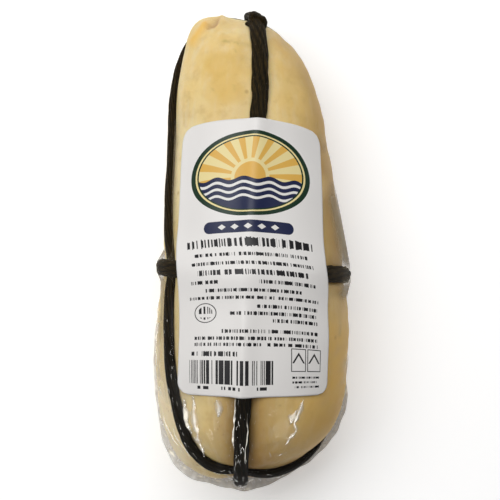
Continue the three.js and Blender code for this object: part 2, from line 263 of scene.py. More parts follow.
cordColumns = np.arange(4) * grid["quarter"]  # right, front, left, back
cordPoints, cordOuts = base[:, cordColumns], outward[:, cordColumns]
beside = np.stack([apart(base, cordPoints[:, q:q + 1]) for q in range(4)], -1)
offGirdle = np.abs(ringAlong - tie["girdleAlong"])
besideGirdle = np.where(ringTilt == 0, offGirdle, farAway)[:, None] + 0 * columns
lies = [lengthwiseLie(ringAlong, ringTilt, q % 2 == 1, cordPoints[:, q], cordOuts[:, q]) for q in range(4)]
girdleLies = girdleLie(near(beside.min(-1), tie["reach"]), outward)


def softHollow(distance, lie, give):
    wide, thick, depth = lie
    rim = wide / 2 + tie["hollowSide"]
    hollow = depth + thick / 2 * np.sqrt(np.clip(1 - (distance / rim) ** 2, 0, 1)) + tie["hollowFloor"]
    shoulder = give * near(np.clip(distance - tie["dipFrom"], 0, None), tie["dipReach"])
    return np.maximum(np.where(distance < rim, hollow, nothing), shoulder)


def cordTop(distance, lie):
    wide, thick, depth = lie
    rise = thick / 2 * np.sqrt(np.clip(1 - (distance / (wide / 2)) ** 2, 0, 1)) - depth
    return np.where(distance < wide / 2, rise, nothing)


def overCords(profile, *more):
    lengthwise = [profile(beside[..., q], [v[:, None] for v in lies[q]], *more) for q in range(4)]
    return np.max(lengthwise + [profile(besideGirdle, girdleLies, *more)], 0)


def neighbours(field):
    rows = np.pad(field, ((1, 1), (0, 0)), mode="edge")
    return rows[:-2] + rows[2:] + np.roll(field, 1, 1) + np.roll(field, -1, 1)


def spread(field, times):
    for again in range(times):
        field = (neighbours(field) + 2 * field) / 6
    return field


def relaxed(field, floor, pull, times):
    for again in range(times):
        field = np.maximum(floor, neighbours(field) / 4 - pull)
    return field


def besideLine(p, line):
    best = np.full(p.shape[:-1], 1e3)
    for a, b in zip(line[:-1], line[1:]):
        a, b = np.array(a), np.array(b)
        t = np.clip(((p - a) @ (b - a)) / ((b - a) @ (b - a)), 0, 1)
        best = np.minimum(best, apart(p, a + t[..., None] * (b - a)))
    return best


# The cheese
skin = dict(
    # height, length and seed, then mm off a cord where they fade in
    waves=((0.30, 26.0, 3), (0.12, 9.0, 5)), free=(3.0, 12.0), dipPasses=2, gathersFace=(-0.2, 0.15),
    # the gathered skin beside the hitch: plan line, rise, width
    gathers=(
        (((-16.8, 91.2), (-17.2, 88.6), (-18.3, 87.0), (-20.2, 86.5)), -1.3, 1.0),
        (((-15.2, 93.0), (-14.6, 89.5)), 0.9, 1.7),
        (((-21.8, 88.0), (-23.2, 85.2), (-26.0, 80.0)), 0.7, 1.5),
        (((-15.2, 88.6), (-16.4, 86.0), (-19.4, 84.2)), 0.6, 1.1),
        (((-15.8, 85.6), (-18.8, 82.8)), -0.4, 0.8),
        (((-9.5, 92.0), (-10.5, 87.0), (-10.0, 80.0)), -0.35, 1.6),
        (((7.0, 91.0), (10.0, 86.0), (11.0, 79.0)), -0.35, 1.8),
    ),
)
plan = base[..., :2]
dips = spread(overCords(softHollow, tie["dip"] * (1 - under)), skin["dipPasses"])
free = smooth(np.minimum(beside.min(-1), besideGirdle), *skin["free"]) * (1 - under)
relief = free * sum(waved(base, *wave) for wave in skin["waves"])
topSide = smooth(outward[..., 2], *skin["gathersFace"])
for line, rise, wide in skin["gathers"]:
    relief = relief + rise * topSide * near(besideLine(plan, line), wide)
cheeseHeight = relief - dips


def toMesh(name, points, quads):
    mesh = bpy.data.meshes.new(name)
    mesh.from_pydata(toFrame(points).tolist(), [], quads)
    mesh.polygons.foreach_set("use_smooth", [True] * len(mesh.polygons))
    mesh.update()
    piece = bpy.data.objects.new(name, mesh)
    bpy.context.scene.collection.objects.link(piece)
    return piece


def ringQuads(rows, across, loop=False):
    i, j = np.meshgrid(np.arange(rows if loop else rows - 1), np.arange(across), indexing="ij")
    up, side = (i + 1) % rows, (j + 1) % across
    quads = np.stack([i * across + j, up * across + j, up * across + side, i * across + side], -1)
    return quads.reshape(-1, 4).tolist()


def closedSkin(name, height):
    points = base + outward * height[..., None]
    quads = ringQuads(tall, around)
    low, high, last = tall * around, tall * around + 1, (tall - 1) * around
    quads += [(low, j, (j + 1) % around) for j in range(around)]
    quads += [(high, last + (j + 1) % around, last + j) for j in range(around)]
    poles = [points[0].mean(0)], [points[-1].mean(0)]
    return toMesh(name, np.concatenate([points.reshape(-1, 3), *poles]), quads)


# The corner that a quad starts at decides which diagonal it is split along
def sheetMesh(name, upper, lower, firstCorner=0):
    n, m = upper.shape[:2]
    k = np.arange(n * m).reshape(n, m)
    top = np.stack([k[:-1, :-1], k[:-1, 1:], k[1:, 1:], k[1:, :-1]], -1).reshape(-1, 4)
    top = np.roll(top, -firstCorner, axis=1)
    edge = np.concatenate([k[0, :], k[1:, -1], k[-1, -2::-1], k[-2:0:-1, 0]])
    after = np.roll(edge, -1)
    side = np.stack([edge, edge + n * m, after + n * m, after], -1)
    points = np.concatenate([upper.reshape(-1, 3), lower.reshape(-1, 3)])
    return toMesh(name, points, np.concatenate([top, top[:, ::-1] + n * m, side]).tolist())


def setField(piece, name, values, kind="FLOAT"):
    layer = piece.data.attributes.new(name, kind, "POINT")
    layer.data.foreach_set("value" if kind == "FLOAT" else "vector", np.asarray(values, np.float32).ravel())


def setSkinFields(piece, **fields):
    for name, field in fields.items():
        setField(piece, name, np.concatenate([field.ravel(), [field[0].mean()], [field[-1].mean()]]))


cheese = closedSkin("cheese", cheeseHeight)
# where the rind is amber or scuffed, where painted highlight makes it paler or lighter, and where painted
# shade and shadow make it pinkish-brown or darker: places are x, y in mm
rind = dict(
    front=(0.0, 0.3), low=(-38.0, -56.0), right=(-2.0, 2.0),
    paleReach=9.0, paleFade=4.5, paleEven=0.7, paleWaves=(0.3, 11.0, 8),
    stain=(-12.0, 66.5, 8.2, 11.0), stainReach=1.35, stainFade=0.7, stainWaves=(0.22, 7.0, 21),
    # amber streaks on the ridges, brightened as a painted highlight
    streaks=((((-21.8, 88.0), (-23.2, 85.2), (-26.2, 80.2)), 1.0),
             (((6.4, 82.5), (8.8, 80.0), (11.2, 77.0)), 0.35)), streakWide=1.7,
    # painted shade in the crease beside the knob
    creaseShade=((-16.8, 90.8), (-17.2, 88.6), (-18.3, 87.0), (-20.0, 86.6)), creaseShadeWide=1.1,
    scuffs=(((-14.0, 79.6), (-10.6, 80.0), (-7.8, 79.2)), ((-9.4, 76.6), (-9.0, 76.0)),
            ((-9.0, 61.6), (-8.7, 60.6)), ((-17.4, 60.6), (-17.0, 60.0))), scuffWide=0.45,
    # painted shade and, closer in, a painted shadow beside the lower cord, on the left and on the right
    cordEdge=3.0, cordShade=(0.60, 0.68), cordShadeReach=(6.5, 10.0),
    gap=(0.46, 0.64), gapReach=2.6, gapEnd=(-88.0, -74.0),
    flankWaves=(0.05, 17.0, 33), flankLow=(0.12, -36.0, -8.0), flankHigh=(0.55, 25.0, 60.0),
    # patches: how much, then each way it fades in, from where to where
    # the right flank darker: painted shade
    shadedFlank=(0.66, ("shadedFlank", 0.56, 0.88)),
    # painted shade low on the right, at the lower end and beside the hitch
    paintedShade=(
        (0.22, ("away", 0.30, 0.85), ("x", -4.0, 8.0)),
        (0.32, ("y", -70.0, -86.0), ("x", -8.0, 4.0)),
        (0.22, ("y", 74.0, 84.0), ("x", -2.0, 2.0)),
    ),
    warmLow=(
        (0.56, ("x", 10.0, 28.0), ("y", -10.0, -36.0)),
        (0.22, ("x", 25.0, 35.0), ("y", -10.0, -36.0)),
    ),
    warmHigh=(
        (0.40, ("right", 0.55, 0.85), ("y", -4.0, 12.0)),
        (0.35, ("x", 2.0, 14.0), ("y", 30.0, 60.0)),
        (0.26, ("x", 0.0, -6.0), ("x", -23.0, -14.0), ("y", 34.0, 46.0), ("y", 68.0, 56.0)),
    ),
    # lighter low on the left: a painted sheen
    light=(1.0, ("right", -0.40, -0.70), ("y", -44.0, -62.0)),
)


def rindFields():
    x, y, toRight = base[..., 0], base[..., 1], outward[..., 0]
    ways = dict(x=x, y=y, right=toRight, away=0.5 * toRight - outward[..., 1],
                shadedFlank=toRight + waved(base, *rind["flankWaves"]))

    def patch(much, *fades):
        for way, start, full in fades:
            much = much * smooth(ways[way], start, full)
        return much

    def marks(lines, wide, much=1.0):
        return np.max([much * near(besideLine(plan, line), wide) for line in lines], 0)

    shown = smooth(outward[..., 2], *rind["front"])
    low, onRight = smooth(y, *rind["low"]), smooth(x, *rind["right"])
    alongCord = np.minimum(beside[..., 1], beside[..., 3])
    # a paler band beside the front and back cords: a painted highlight
    pale = smooth(rind["paleReach"] - alongCord, 0.0, rind["paleFade"])
    pale = pale * (rind["paleEven"] + waved(base, *rind["paleWaves"])) * (1 - low)
    midX, midY, wide, high = rind["stain"]
    stain = rind["stainReach"] - np.hypot((x - midX) / wide, (y - midY) / high)
    stain = stain + waved(base, *rind["stainWaves"])
    amber = np.max([marks([line], rind["streakWide"], much) for line, much in rind["streaks"]], 0)
    fromEdge = np.clip(alongCord - rind["cordEdge"], 0, None)
    # painted shade beside the lower cord
    cordShade = mixed(*rind["cordShade"], onRight) * low * near(fromEdge, mixed(*rind["cordShadeReach"], onRight))
    # a painted shadow close beside the lower cord
    gap = mixed(*rind["gap"], onRight) * low * near(fromEdge, rind["gapReach"]) * smooth(y, *rind["gapEnd"])
    # painted shade on the right flank, strongest at mid length
    (least, *rise), (most, *fall) = rind["flankLow"], rind["flankHigh"]
    shadedFlank = patch(*rind["shadedFlank"]) * mixed(least, 1, smooth(y, *rise)) * mixed(1, most, smooth(y, *fall))
    unshaded = (1 - shadedFlank) * (1 - cordShade)
    for term in rind["paintedShade"]:
        unshaded = unshaded * (1 - patch(*term))
    warmLow = sum(patch(*term) for term in rind["warmLow"])
    return dict(
        pale=np.clip(pale, 0, 1), light=patch(*rind["light"]), gap=gap, paintedShade=1 - unshaded,
        stain=smooth(stain, 0.0, rind["stainFade"]) * shown, amber=amber * shown,
        creaseShade=marks([rind["creaseShade"]], rind["creaseShadeWide"]) * shown,
        scuff=marks(rind["scuffs"], rind["scuffWide"]) * shown,
        warm=np.max([warmLow] + [patch(*term) for term in rind["warmHigh"]], 0))


setSkinFields(cheese, **rindFields())
print("cheese:", len(cheese.data.polygons), "faces")

# The cord
strand = dict(
    count=9, groove=0.17, groovePower=0.7, turn=95.0, sides=54, step=1.1, closest=0.4, passes=3,
    wobble=0.16, uneven=0.014, thickShare=0.6, drift=0.05, driftLag=7, laneDrift=0.06,
    slow=(9, 14, 23, 31), fast=(37, 53, 71, 97), ownWaves=5, ownPhase=2.4,  # waves round each loop
    facing=0.35, girdleSteps=260,
)


def turnsOf(sides):
    return np.arange(sides) / sides * fullTurn


def tube(path, side, up, halfWide, halfTall, turn):
    return (path[:, None] + side[:, None] * (np.cos(turn) * halfWide)[..., None]
            + up[:, None] * (np.sin(turn) * halfTall)[..., None])


def grooveAt(lane):
    return strand["groove"] * (1 - np.abs(np.cos(lane)) ** strand["groovePower"])


def twineMesh(name, points, run, turn, groove):
    rows, sides = groove.shape
    piece = toMesh(name, points.reshape(-1, 3), ringQuads(rows, sides, loop=True))
    lay = np.stack([np.repeat(run, sides), np.tile(turn, rows), groove.ravel() / strand["groove"]], -1)
    setField(piece, "lay", lay, "FLOAT_VECTOR")
    return piece


def cordMesh(name, point, out, wide, thick, depth, seed):
    keep = np.concatenate([[True], apart(point[1:], point[:-1]) > strand["closest"]])
    point, out, wide, thick, depth = point[keep], out[keep], wide[keep], thick[keep], depth[keep]
    centre = point - out * depth[:, None]
    length = runLength(centre)
    whole = length[-1] + apart(centre[0], centre[-1])
    count = int(whole / strand["step"])
    places, knots = np.arange(count) * whole / count, np.concatenate([length, [whole]])
    closed = [np.concatenate([v, v[:1]]) for v in (centre, out, wide, thick)]
    centre, out, wide, thick = [resampled(places, knots, v) for v in closed]
    for again in range(strand["passes"]):
        centre = (np.roll(centre, 1, 0) + 2 * centre + np.roll(centre, -1, 0)) / 4
    tangent = unit(np.roll(centre, -1, 0) - np.roll(centre, 1, 0))
    side = unit(np.cross(out, tangent))
    up = np.cross(tangent, side)
    turn, loopTurn = turnsOf(strand["sides"]), places / whole * fullTurn
    phase = np.random.default_rng(seed).random(6) * anyPhase

    def waving(counts):
        return sum(np.sin(loopTurn * k + phase[n]) for n, k in enumerate(counts))

    loose, ragged = waving(strand["slow"]), waving(strand["fast"])
    wide = wide * (1 + strand["uneven"] * ragged / 2)
    thick = thick * (1 + strand["thickShare"] * strand["uneven"] * loose / 2)
    centre = centre + side * (strand["drift"] * np.roll(ragged, strand["driftLag"]) / 2)[:, None]
    twist = loopTurn * round(whole / strand["turn"])
    lane = strand["count"] / 2 * (turn[None] + twist[:, None] + strand["laneDrift"] * loose[:, None])
    groove = grooveAt(lane)
    own = np.sin(np.round(lane / math.pi) * strand["ownPhase"] + phase[4]) * strand["wobble"] / 2
    swell = 1 - groove + own * np.sin(loopTurn * strand["ownWaves"] + phase[5])[:, None]
    points = tube(centre, side, up, wide[:, None] / 2 * swell, thick[:, None] / 2 * swell, turn)
    return twineMesh(name, points, places, turn, groove)


def lengthwiseLoop(name, up, down, seed):
    runs = []
    for q in (up, down):
        out = cordOuts[:, q].copy()
        if q % 2 == 1:
            out[:, 0] *= strand["facing"]  # the flat of the cord faces straight out of the front and back
            out = unit(out)
        runs.append([cordPoints[:, q], out] + [np.broadcast_to(v, tall) for v in lies[q]])
    return cordMesh(name, *[np.concatenate([a, b[::-1]]) for a, b in zip(*runs)], seed)


def girdleLoop(name, seed):
    angle = turnsOf(strand["girdleSteps"])
    distance, tilt = np.full_like(angle, tie["girdleAlong"]), np.zeros_like(angle)
    point, out = raysAt(distance, tilt, angle)
    crossings, _ = raysAt(distance[:4], tilt[:4], cordAngles(distance[:1], tilt[:1])[0])
    crossed = near(np.min([apart(point, c) for c in crossings], 0), tie["reach"])
    return cordMesh(name, point, out, *girdleLie(crossed, out), seed)


hitch = dict(
    along=89.0, facing=(0.0, 0.5, 0.87), halfWide=3.4, halfTall=3.1, halfDeep=1.6,
    radius=1.5, steps=150, sides=18, strands=5, twists=6,
)
hitchRow = int(np.argmin(np.abs(cordPoints[:, 1, 1] - hitch["along"])))


def hitchKnot(name):
    out = unit(np.array(hitch["facing"]))
    centre = cordPoints[hitchRow, 1] - cordOuts[hitchRow, 1] * float(lies[1][2][hitchRow])
    t, turn = turnsOf(hitch["steps"]), turnsOf(hitch["sides"])
    # an overhand knot drawn tight
    x = (np.sin(t) + 2 * np.sin(2 * t)) / 3 * hitch["halfWide"]
    y = (2 * np.cos(2 * t) - np.cos(t)) / 3 * hitch["halfTall"]
    z = np.sin(3 * t) * hitch["halfDeep"]
    path = centre + x[:, None] * rightward + y[:, None] * np.cross(out, rightward) + z[:, None] * out
    ahead = unit(np.roll(path, -1, 0) - np.roll(path, 1, 0))
    across = unit(np.cross(ahead, out))
    groove = grooveAt(hitch["strands"] / 2 * turn[None] + hitch["twists"] * t[:, None])
    radius = hitch["radius"] * (1 - groove)
    points = tube(path, across, np.cross(across, ahead), radius, radius, turn)
    return twineMesh(name, points, runLength(path), turn, groove)


cordFrontBack = lengthwiseLoop("cord_front_back_twine", 1, 3, 11)
cordSides = lengthwiseLoop("cord_sides_twine", 0, 2, 12)
cordGirdle = girdleLoop("cord_girdle_twine", 13)
cordHitch = hitchKnot("cord_hitch_twine")
print("cords:", [len(c.data.polygons) for c in (cordFrontBack, cordSides, cordGirdle, cordHitch)])

# The film: a skin drawn tight over the cheese and the cords
film = dict(
    lift=0.10, hitch=(1.9, 5.0),  # off what it lies on, and more over the hitch, with its reach
    shine=(-12.0, -46.0),  # along Y: it clings above the first and shines below the second
    suction=(0.16, 0.045), passes=90,  # pull per pass where it clings and where it shines
    # how far it bridges from the girdle, on the right and on the left
    tentAbove=(44.0, 5.0), tentBelow=(7.0, 4.0), tentPower=1.35, tentEnd=(60.0, 48.0), flanks=(0.62, 0.85),
    clingFolds=0.35, foldsFace=(-0.05, 0.2), overCord=(0.3, 1.2), resting=0.12,
    cordRipple=(0.09, 3.4, 31), cordRippleRise=0.05, cordRippleMost=0.3,
    # plan points, then height and width: where the film stands in soft folds
    folds=(
        (((-26.5, -47.0), (-24.5, -58.0), (-19.5, -70.0)), 0.45, 1.5),
        (((23.0, -53.0), (21.0, -62.0), (18.5, -67.0), (16.0, -74.0)), 0.45, 1.5),
        (((-8.5, -57.0), (-9.5, -68.0), (-10.0, -78.0)), 0.30, 1.3),
        (((9.0, -58.0), (8.0, -70.0), (9.5, -80.0)), 0.30, 1.4),
        (((30.0, -30.0), (31.5, -42.0), (30.0, -58.0)), 0.40, 1.6),
        (((33.0, -4.0), (35.5, -16.0), (34.5, -32.0)), 0.50, 1.5),
        (((-33.0, -18.0), (-34.5, -34.0), (-33.0, -52.0)), 0.40, 1.4),
        (((-26.0, 6.0), (-31.0, -3.0), (-33.0, -8.0)), 0.35, 1.0),
        (((26.0, 10.0), (31.0, 1.0), (34.0, -5.0)), 0.35, 1.1),
    ),
    strayFolds=64, strayHeight=0.30, strayWidth=1.2, strayLength=16.0, strayBelow=18.0, strayFace=-0.85,
    strayTurn=0.35, strayBend=1.6, strayMargin=6.0, strayLengths=(0.35, 0.85), strayHeights=(0.4, 1.2),
    # how milky: in folds and where it is doubled, which is at this height, so far up and down, on the left
    foldMilk=0.06, foldFull=0.5, doubledMilk=0.34, doubledAt=(31.0, 9.0), doubledSide=(-0.1, -0.6),
    offCord=4.5, tented=(0.15, 0.9), webEven=0.6,
    drawn=(0.35, 6.0, 37), drawnEven=0.65, drawnLong=(1.0, 0.25, 1.0),  # streaks along Y
    dulled=0.88,  # how far the gloss is taken back where it shines and over a cord
)
tops = overCords(cordTop)
hitchLift, hitchReach = film["hitch"]
held = np.maximum(cheeseHeight, tops) + film["lift"]
held = held + hitchLift * near(apart(base, cordPoints[hitchRow, 1]), hitchReach)
shine = smooth(base[..., 1], *film["shine"])
flanks = smooth(np.abs(outward[..., 0]), *film["flanks"]) * (1 - under)
onRight = outward[..., 0] > 0
above, below = [np.where(onRight, *film[side]) for side in ("tentAbove", "tentBelow")]
tentReach = np.where(ringAlong[:, None] > tie["girdleAlong"], above, below)
fall = np.clip(1 - (besideGirdle - tie["girdleWidth"] / 3) / tentReach, 0, 1)
tent = tie["proud"] * fall ** film["tentPower"] * flanks
held = np.maximum(held, np.where(besideGirdle < film["tentEnd"][0], tent, nothing))
filmHeight = relaxed(held, held, mixed(*film["suction"], shine), film["passes"])


def foldHeights():
    rise = np.zeros(base.shape[:2])
    face = smooth(outward[..., 2], *film["foldsFace"])
    for line, height, wide in film["folds"]:
        rise = np.maximum(rise, height * face * near(besideLine(plan, line), wide))
    loose = np.argwhere((base[..., 1] < film["strayBelow"]) & (outward[..., 2] > film["strayFace"]))
    for fold in range(film["strayFolds"]):
        i, j = loose[dice.integers(len(loose))]
        here, out = base[i, j], outward[i, j]
        way = unit(np.array([film["strayTurn"] * dice.normal(), 1.0, film["strayTurn"] * dice.normal()]))
        way = unit(np.cross(np.cross(out, way), out))
        bend = np.cross(out, way) * dice.normal() * film["strayBend"]
        half = film["strayLength"] * mixed(*film["strayLengths"], dice.random()) / 2
        height = film["strayHeight"] * mixed(*film["strayHeights"], dice.random())
        close = apart(base, here) < half + film["strayMargin"]
        gap = besideLine(base[close], [here - way * half, here + bend, here + way * half])
        rise[close] = np.maximum(rise[close], height * near(gap, film["strayWidth"]))
    return rise


folds = foldHeights() * (1 - under)
filmHeight = filmHeight + folds * mixed(film["clingFolds"], 1, shine)
overCord = smooth(tops - cheeseHeight, *film["overCord"])
onCord = overCord * shine
ripple = waved(base, *film["cordRipple"]) + film["cordRippleRise"]
filmHeight = filmHeight + onCord * np.clip(ripple, 0, film["cordRippleMost"])
filmHeight = mixed(filmHeight, np.minimum(filmHeight, film["resting"]), under)
filmPoints = base + outward * filmHeight[..., None]
filmSkin = closedSkin("film", filmHeight)
offCord = 1 - near(np.minimum(beside.min(-1), besideGirdle), film["offCord"])
tented = smooth(filmHeight - cheeseHeight, *film["tented"]) * flanks
tented = tented * smooth(besideGirdle, *film["tentEnd"]) * offCord
drawn = np.clip(film["drawnEven"] + waved(base * np.array(film["drawnLong"]), *film["drawn"]), 0, 1)
doubledHeight, doubledReach = film["doubledAt"]
doubled = near(base[..., 2] - doubledHeight, doubledReach) * smooth(outward[..., 0], *film["doubledSide"])
doubled = doubled * drawn
folded = film["foldMilk"] * np.clip(folds / film["foldFull"], 0, 1)
# where the film is tented its milk is brown, a painted shade of the hollow under it
setSkinFields(
    filmSkin, shine=shine, haze=(folded + film["doubledMilk"] * doubled) * shine * offCord,
    web=tented * mixed(film["webEven"], 1, drawn), frost=np.clip(shine - tented, 0, 1),
    gleam=(1 - film["dulled"] * shine) * (1 - film["dulled"] * spread(overCord, 1)))
print("film:", len(filmSkin.data.polygons), "faces")

# The sealed rim: where the film meets itself round the lower end
rim = dict(
    startY=-44.0, height=31.0, span=(150.0, 352.0), turns=260, across=9, thick=0.16, root=0.8,
    ends=(0.14, 0.16), left=(0.58, 0.40),  # shares of the way round: the ends that die out, and the left
    # share of the way round, then how far it stands out
    reach=((0.0, 0.0), (0.08, 1.0), (0.25, 1.3), (0.36, 2.4), (0.43, 4.5), (0.5, 4.6), (0.56, 5.3),
           (0.594, 6.2), (0.64, 4.0), (0.7, 3.0), (0.75, 3.4), (0.8, 3.8), (0.87, 3.2), (0.94, 2.0),
           (1.0, 0.0)),
    # ripples: size, how many radians round the rim, phase
    levelWaves=((1.2, 11.0, 0.0), (0.4, 41.0, 1.0)),
    reachWaves=((0.05, 29.0, 0.6), (0.05, 67.0, 2.0), (0.04, 121.0, 0.0)),
    bendWaves=(((0.35, 57.0, 0.0), 1.5), ((0.2, 126.0, 1.4), 2)),  # each with its power across the rim
    milk=0.40, edgeMilk=0.22, edgePower=4, streakMilk=0.13, streakRoot=0.4,
    # with little frost the milk is brown, a painted shade seen through the film
    streaks=((0.5, 7.0, 51), (0.5, 3.0, 52)), frost=0.24, frostLeft=0.35, frostOfMilk=2.4, frostFrom=0.46,
    # short folds that catch the light, drawn as painted highlight with a glow: length and width, noise, its
    # levels, share all round and on the left
    sparkCell=(4.5, 0.8), spark=(1.0, 2.0, 53), sparkFrom=(0.85, 1.7), sparkShare=(0.3, 0.6), sparkMilk=0.5,
)


def rippled(share, waves):
    return sum(size * np.sin(share * turns + phase) for size, turns, phase in waves)


def sealedRim(name):
    share, across = np.linspace(0, 1, rim["turns"]), np.linspace(0, 1, rim["across"])
    angle = np.radians(mixed(*rim["span"], share))
    level = rim["height"] + rippled(share, rim["levelWaves"])
    startX, startY = float(lean(rim["startY"])) + 0 * angle, rim["startY"] + 0 * angle
    direction = np.stack([np.cos(angle), np.sin(angle), 0 * angle], -1)
    point = surfaceAlong(np.stack([startX, startY, level], -1), direction)
    out = outwardAt(point)
    first, last = rim["ends"]
    ends = smooth(share, 0.0, first) * smooth(1 - share, 0.0, last)
    reach = (through(rim["reach"], share) * (1 + rippled(share, rim["reachWaves"])))[:, None]
    bend = sum(rippled(share, [wave])[:, None] * across ** power for wave, power in rim["bendWaves"])
    sheet = point[:, None] + out[:, None] * ((reach + rim["root"]) * across - rim["root"])[..., None]
    upward = np.array([0, 0, 1.0])
    sheet = sheet + upward * (bend * ends[:, None])[..., None]
    half = upward * rim["thick"] / 2
    piece = sheetMesh(name, sheet + half, sheet - half, firstCorner=1)
    streaks = sum(waved(point, *wave) for wave in rim["streaks"])[:, None]
    milk = rim["milk"] + rim["edgeMilk"] * across ** rim["edgePower"]
    milk = milk + rim["streakMilk"] * streaks * mixed(rim["streakRoot"], 1, across)
    onLeft = smooth(share, *rim["left"])[:, None]
    cellLong, cellWide = rim["sparkCell"]
    run = runLength(point)[:, None]
    laid = np.stack([run / cellLong + 0 * milk, reach * across / cellWide, 0 * milk], -1)
    everywhere, moreLeft = rim["sparkShare"]
    sparks = smooth(waved(laid, *rim["spark"]), *rim["sparkFrom"]) * (everywhere + moreLeft * onLeft)
    frost = rim["frost"] + rim["frostLeft"] * onLeft + rim["frostOfMilk"] * (milk - rim["frostFrom"])
    # the sparks glow and turn milkier: a painted highlight
    fields = dict(shine=1 + 0 * milk, gleam=1 + 0 * milk, glint=sparks, frost=np.clip(frost, 0, 1),
                  haze=np.clip(milk + rim["sparkMilk"] * sparks, 0, 1))
    for field, values in fields.items():
        setField(piece, field, np.tile(values.ravel(), 2))
    return piece


filmRim = sealedRim("film_rim")
print("rim:", len(filmRim.data.polygons), "faces")

# Creases: narrow ridges where the film is doubled, which catch the light; their milky white, halos and the
# glow of the main ones are painted highlight
crease = dict(
    # plan points, then width: the ones that show most
    lines=(
        (((-22.8, -58.5), (-21.6, -66.0), (-19.2, -73.0)), 2.9),
        (((-19.2, -57.0), (-18.4, -66.0), (-16.6, -74.0), (-13.8, -81.5)), 1.5),
        (((-10.4, -57.6), (-9.2, -61.0), (-9.6, -64.5)), 1.6),
        (((22.7, -56.0), (21.0, -61.2), (19.0, -65.7), (20.6, -68.3), (17.7, -72.3), (16.4, -74.4)), 1.2),
        (((20.2, -60.5), (18.6, -63.2), (17.4, -66.4)), 2.3),
        (((-3.3, -56.0), (-3.1, -64.0), (-3.4, -71.0), (-3.0, -78.0)), 1.0),
        (((1.5, -62.0), (1.9, -69.0), (1.4, -76.0), (1.8, -83.0)), 0.45),
        (((-35.2, -22.0), (-35.6, -36.0), (-34.4, -50.0)), 0.6),
        (((-31.5, -66.0), (-28.0, -74.0), (-22.0, -82.0)), 0.8),
        (((-27.0, -71.0), (-23.5, -77.5), (-17.0, -84.0)), 0.6),
    ),
    height=0.34, step=0.45, sides=8, haloFrom=1.1, haloWide=2.4, lineSteps=10, above=150.0,
    # milkiness, whose white is a painted highlight, the least of it where a crease breaks off, gloss,
    # softness of the edges, and glint, a painted glow
    core=(0.95, 0.40, 5.0, 1, 1.0), halo=(0.42, 0.70, 1.0, 2, 0.0), thin=(0.5, 0.16, 10.0, 0, 0.2),
    # how many, length, width, turn: fine ones on the cheese, and specks on the cords
    stray=(60, 8.0, 0.36, 0.5), specks=(110, 3.2, 0.22, 0.12), seed=71,
    strayShine=0.35, strayFace=(-0.75, 0.8), strayOffCord=8.0, speckOnCord=0.4, speckFace=-0.2,
    plainRight=0.4, plainFace=0.1,  # the film lies smooth where it faces right and up by more than this
    strayLengths=(0.3, 1.0), straySteps=9, strayLeast=4, strayBend=0.2,
    probe=(6.0, 14.0),  # mm above the film where a search for it starts, and how far it goes
    passes=3, leastSteps=5, waver=(0.22, 5.0, (65, 66)), taperLeast=0.02, fadeLeast=0.1,
    widthEven=0.75, widthWaves=(0.35, 4.0, 61), widthSpan=(0.3, 1.3),
    breakEven=0.6, breaks=((0.38, 8.0, 63), (0.2, 2.4, 64)),
)


def creaseStrip(path, width):
    length = runLength(path)
    count = max(int(length[-1] / crease["step"]), crease["leastSteps"])
    path = resampled(np.linspace(0, length[-1], count), length, path)
    for again in range(crease["passes"]):
        path[1:-1] = (path[:-2] + 2 * path[1:-1] + path[2:]) / 4
    size, scale, seeds = crease["waver"]
    path[1:-1, :2] += size * np.stack([wander(path, scale, seed) for seed in seeds], -1)[1:-1]
    share = np.linspace(0, 1, count)
    taper = np.sqrt(np.clip(4 * share * (1 - share), crease["taperLeast"], 1))
    uneven = np.clip(crease["widthEven"] + waved(path, *crease["widthWaves"]), *crease["widthSpan"])
    return path, taper * uneven * width / 2


def linePaths(tree):
    paths = []
    for line, width in crease["lines"]:
        run = []
        for a, b in zip(line[:-1], line[1:]):
            for t in np.linspace(0, 1, crease["lineSteps"], endpoint=False):
                x, y = mixed(np.array(a), np.array(b), t)
                run.append(tree.ray_cast((x, y, crease["above"]), (0, 0, -1))[0])
        paths.append((np.array(run), width, crease["core"]))
        if width > crease["haloFrom"]:
            paths.append((np.array(run), width + crease["haloWide"], crease["halo"]))
    return paths


def strayPaths(tree):
    paths, luck = [], np.random.default_rng(crease["seed"])
    facing, (lowest, highest) = outward[..., 2], crease["strayFace"]
    plain = (outward[..., 0] > crease["plainRight"]) & (facing > crease["plainFace"])
    onCheese = (shine > crease["strayShine"]) & (facing > lowest) & (facing < highest) & ~plain
    onCheese = onCheese & (beside.min(-1) > crease["strayOffCord"])
    onTwine = (onCord > crease["speckOnCord"]) & (facing > crease["speckFace"])
    start, probe = crease["probe"]
    for spots, (count, length, width, turned) in ((onCheese, crease["stray"]), (onTwine, crease["specks"])):
        spots = np.argwhere(spots)
        for spot in range(count):
            i, j = spots[luck.integers(len(spots))]
            here, out = filmPoints[i, j], outward[i, j]
            nearCord = cordPoints[min(i + 1, tall - 1)] - cordPoints[max(i - 1, 0)]
            way = nearCord[int(np.argmin(beside[i, j]))] + luck.normal(size=3) * turned * 2
            way = unit(way - out * (way @ out))
            half = length * mixed(*crease["strayLengths"], luck.random()) / 2
            bend = np.cross(out, way) * luck.normal() * half * crease["strayBend"]
            run = []
            for t in np.linspace(-1, 1, crease["straySteps"]):
                at = here + way * t * half + bend * t * t + out * start
                found = tree.ray_cast(at.tolist(), (-out).tolist(), probe)[0]
                if found is not None:
                    run.append(found)
            if len(run) > crease["strayLeast"]:
                paths.append((np.array(run), width, crease["thin"]))
    return paths


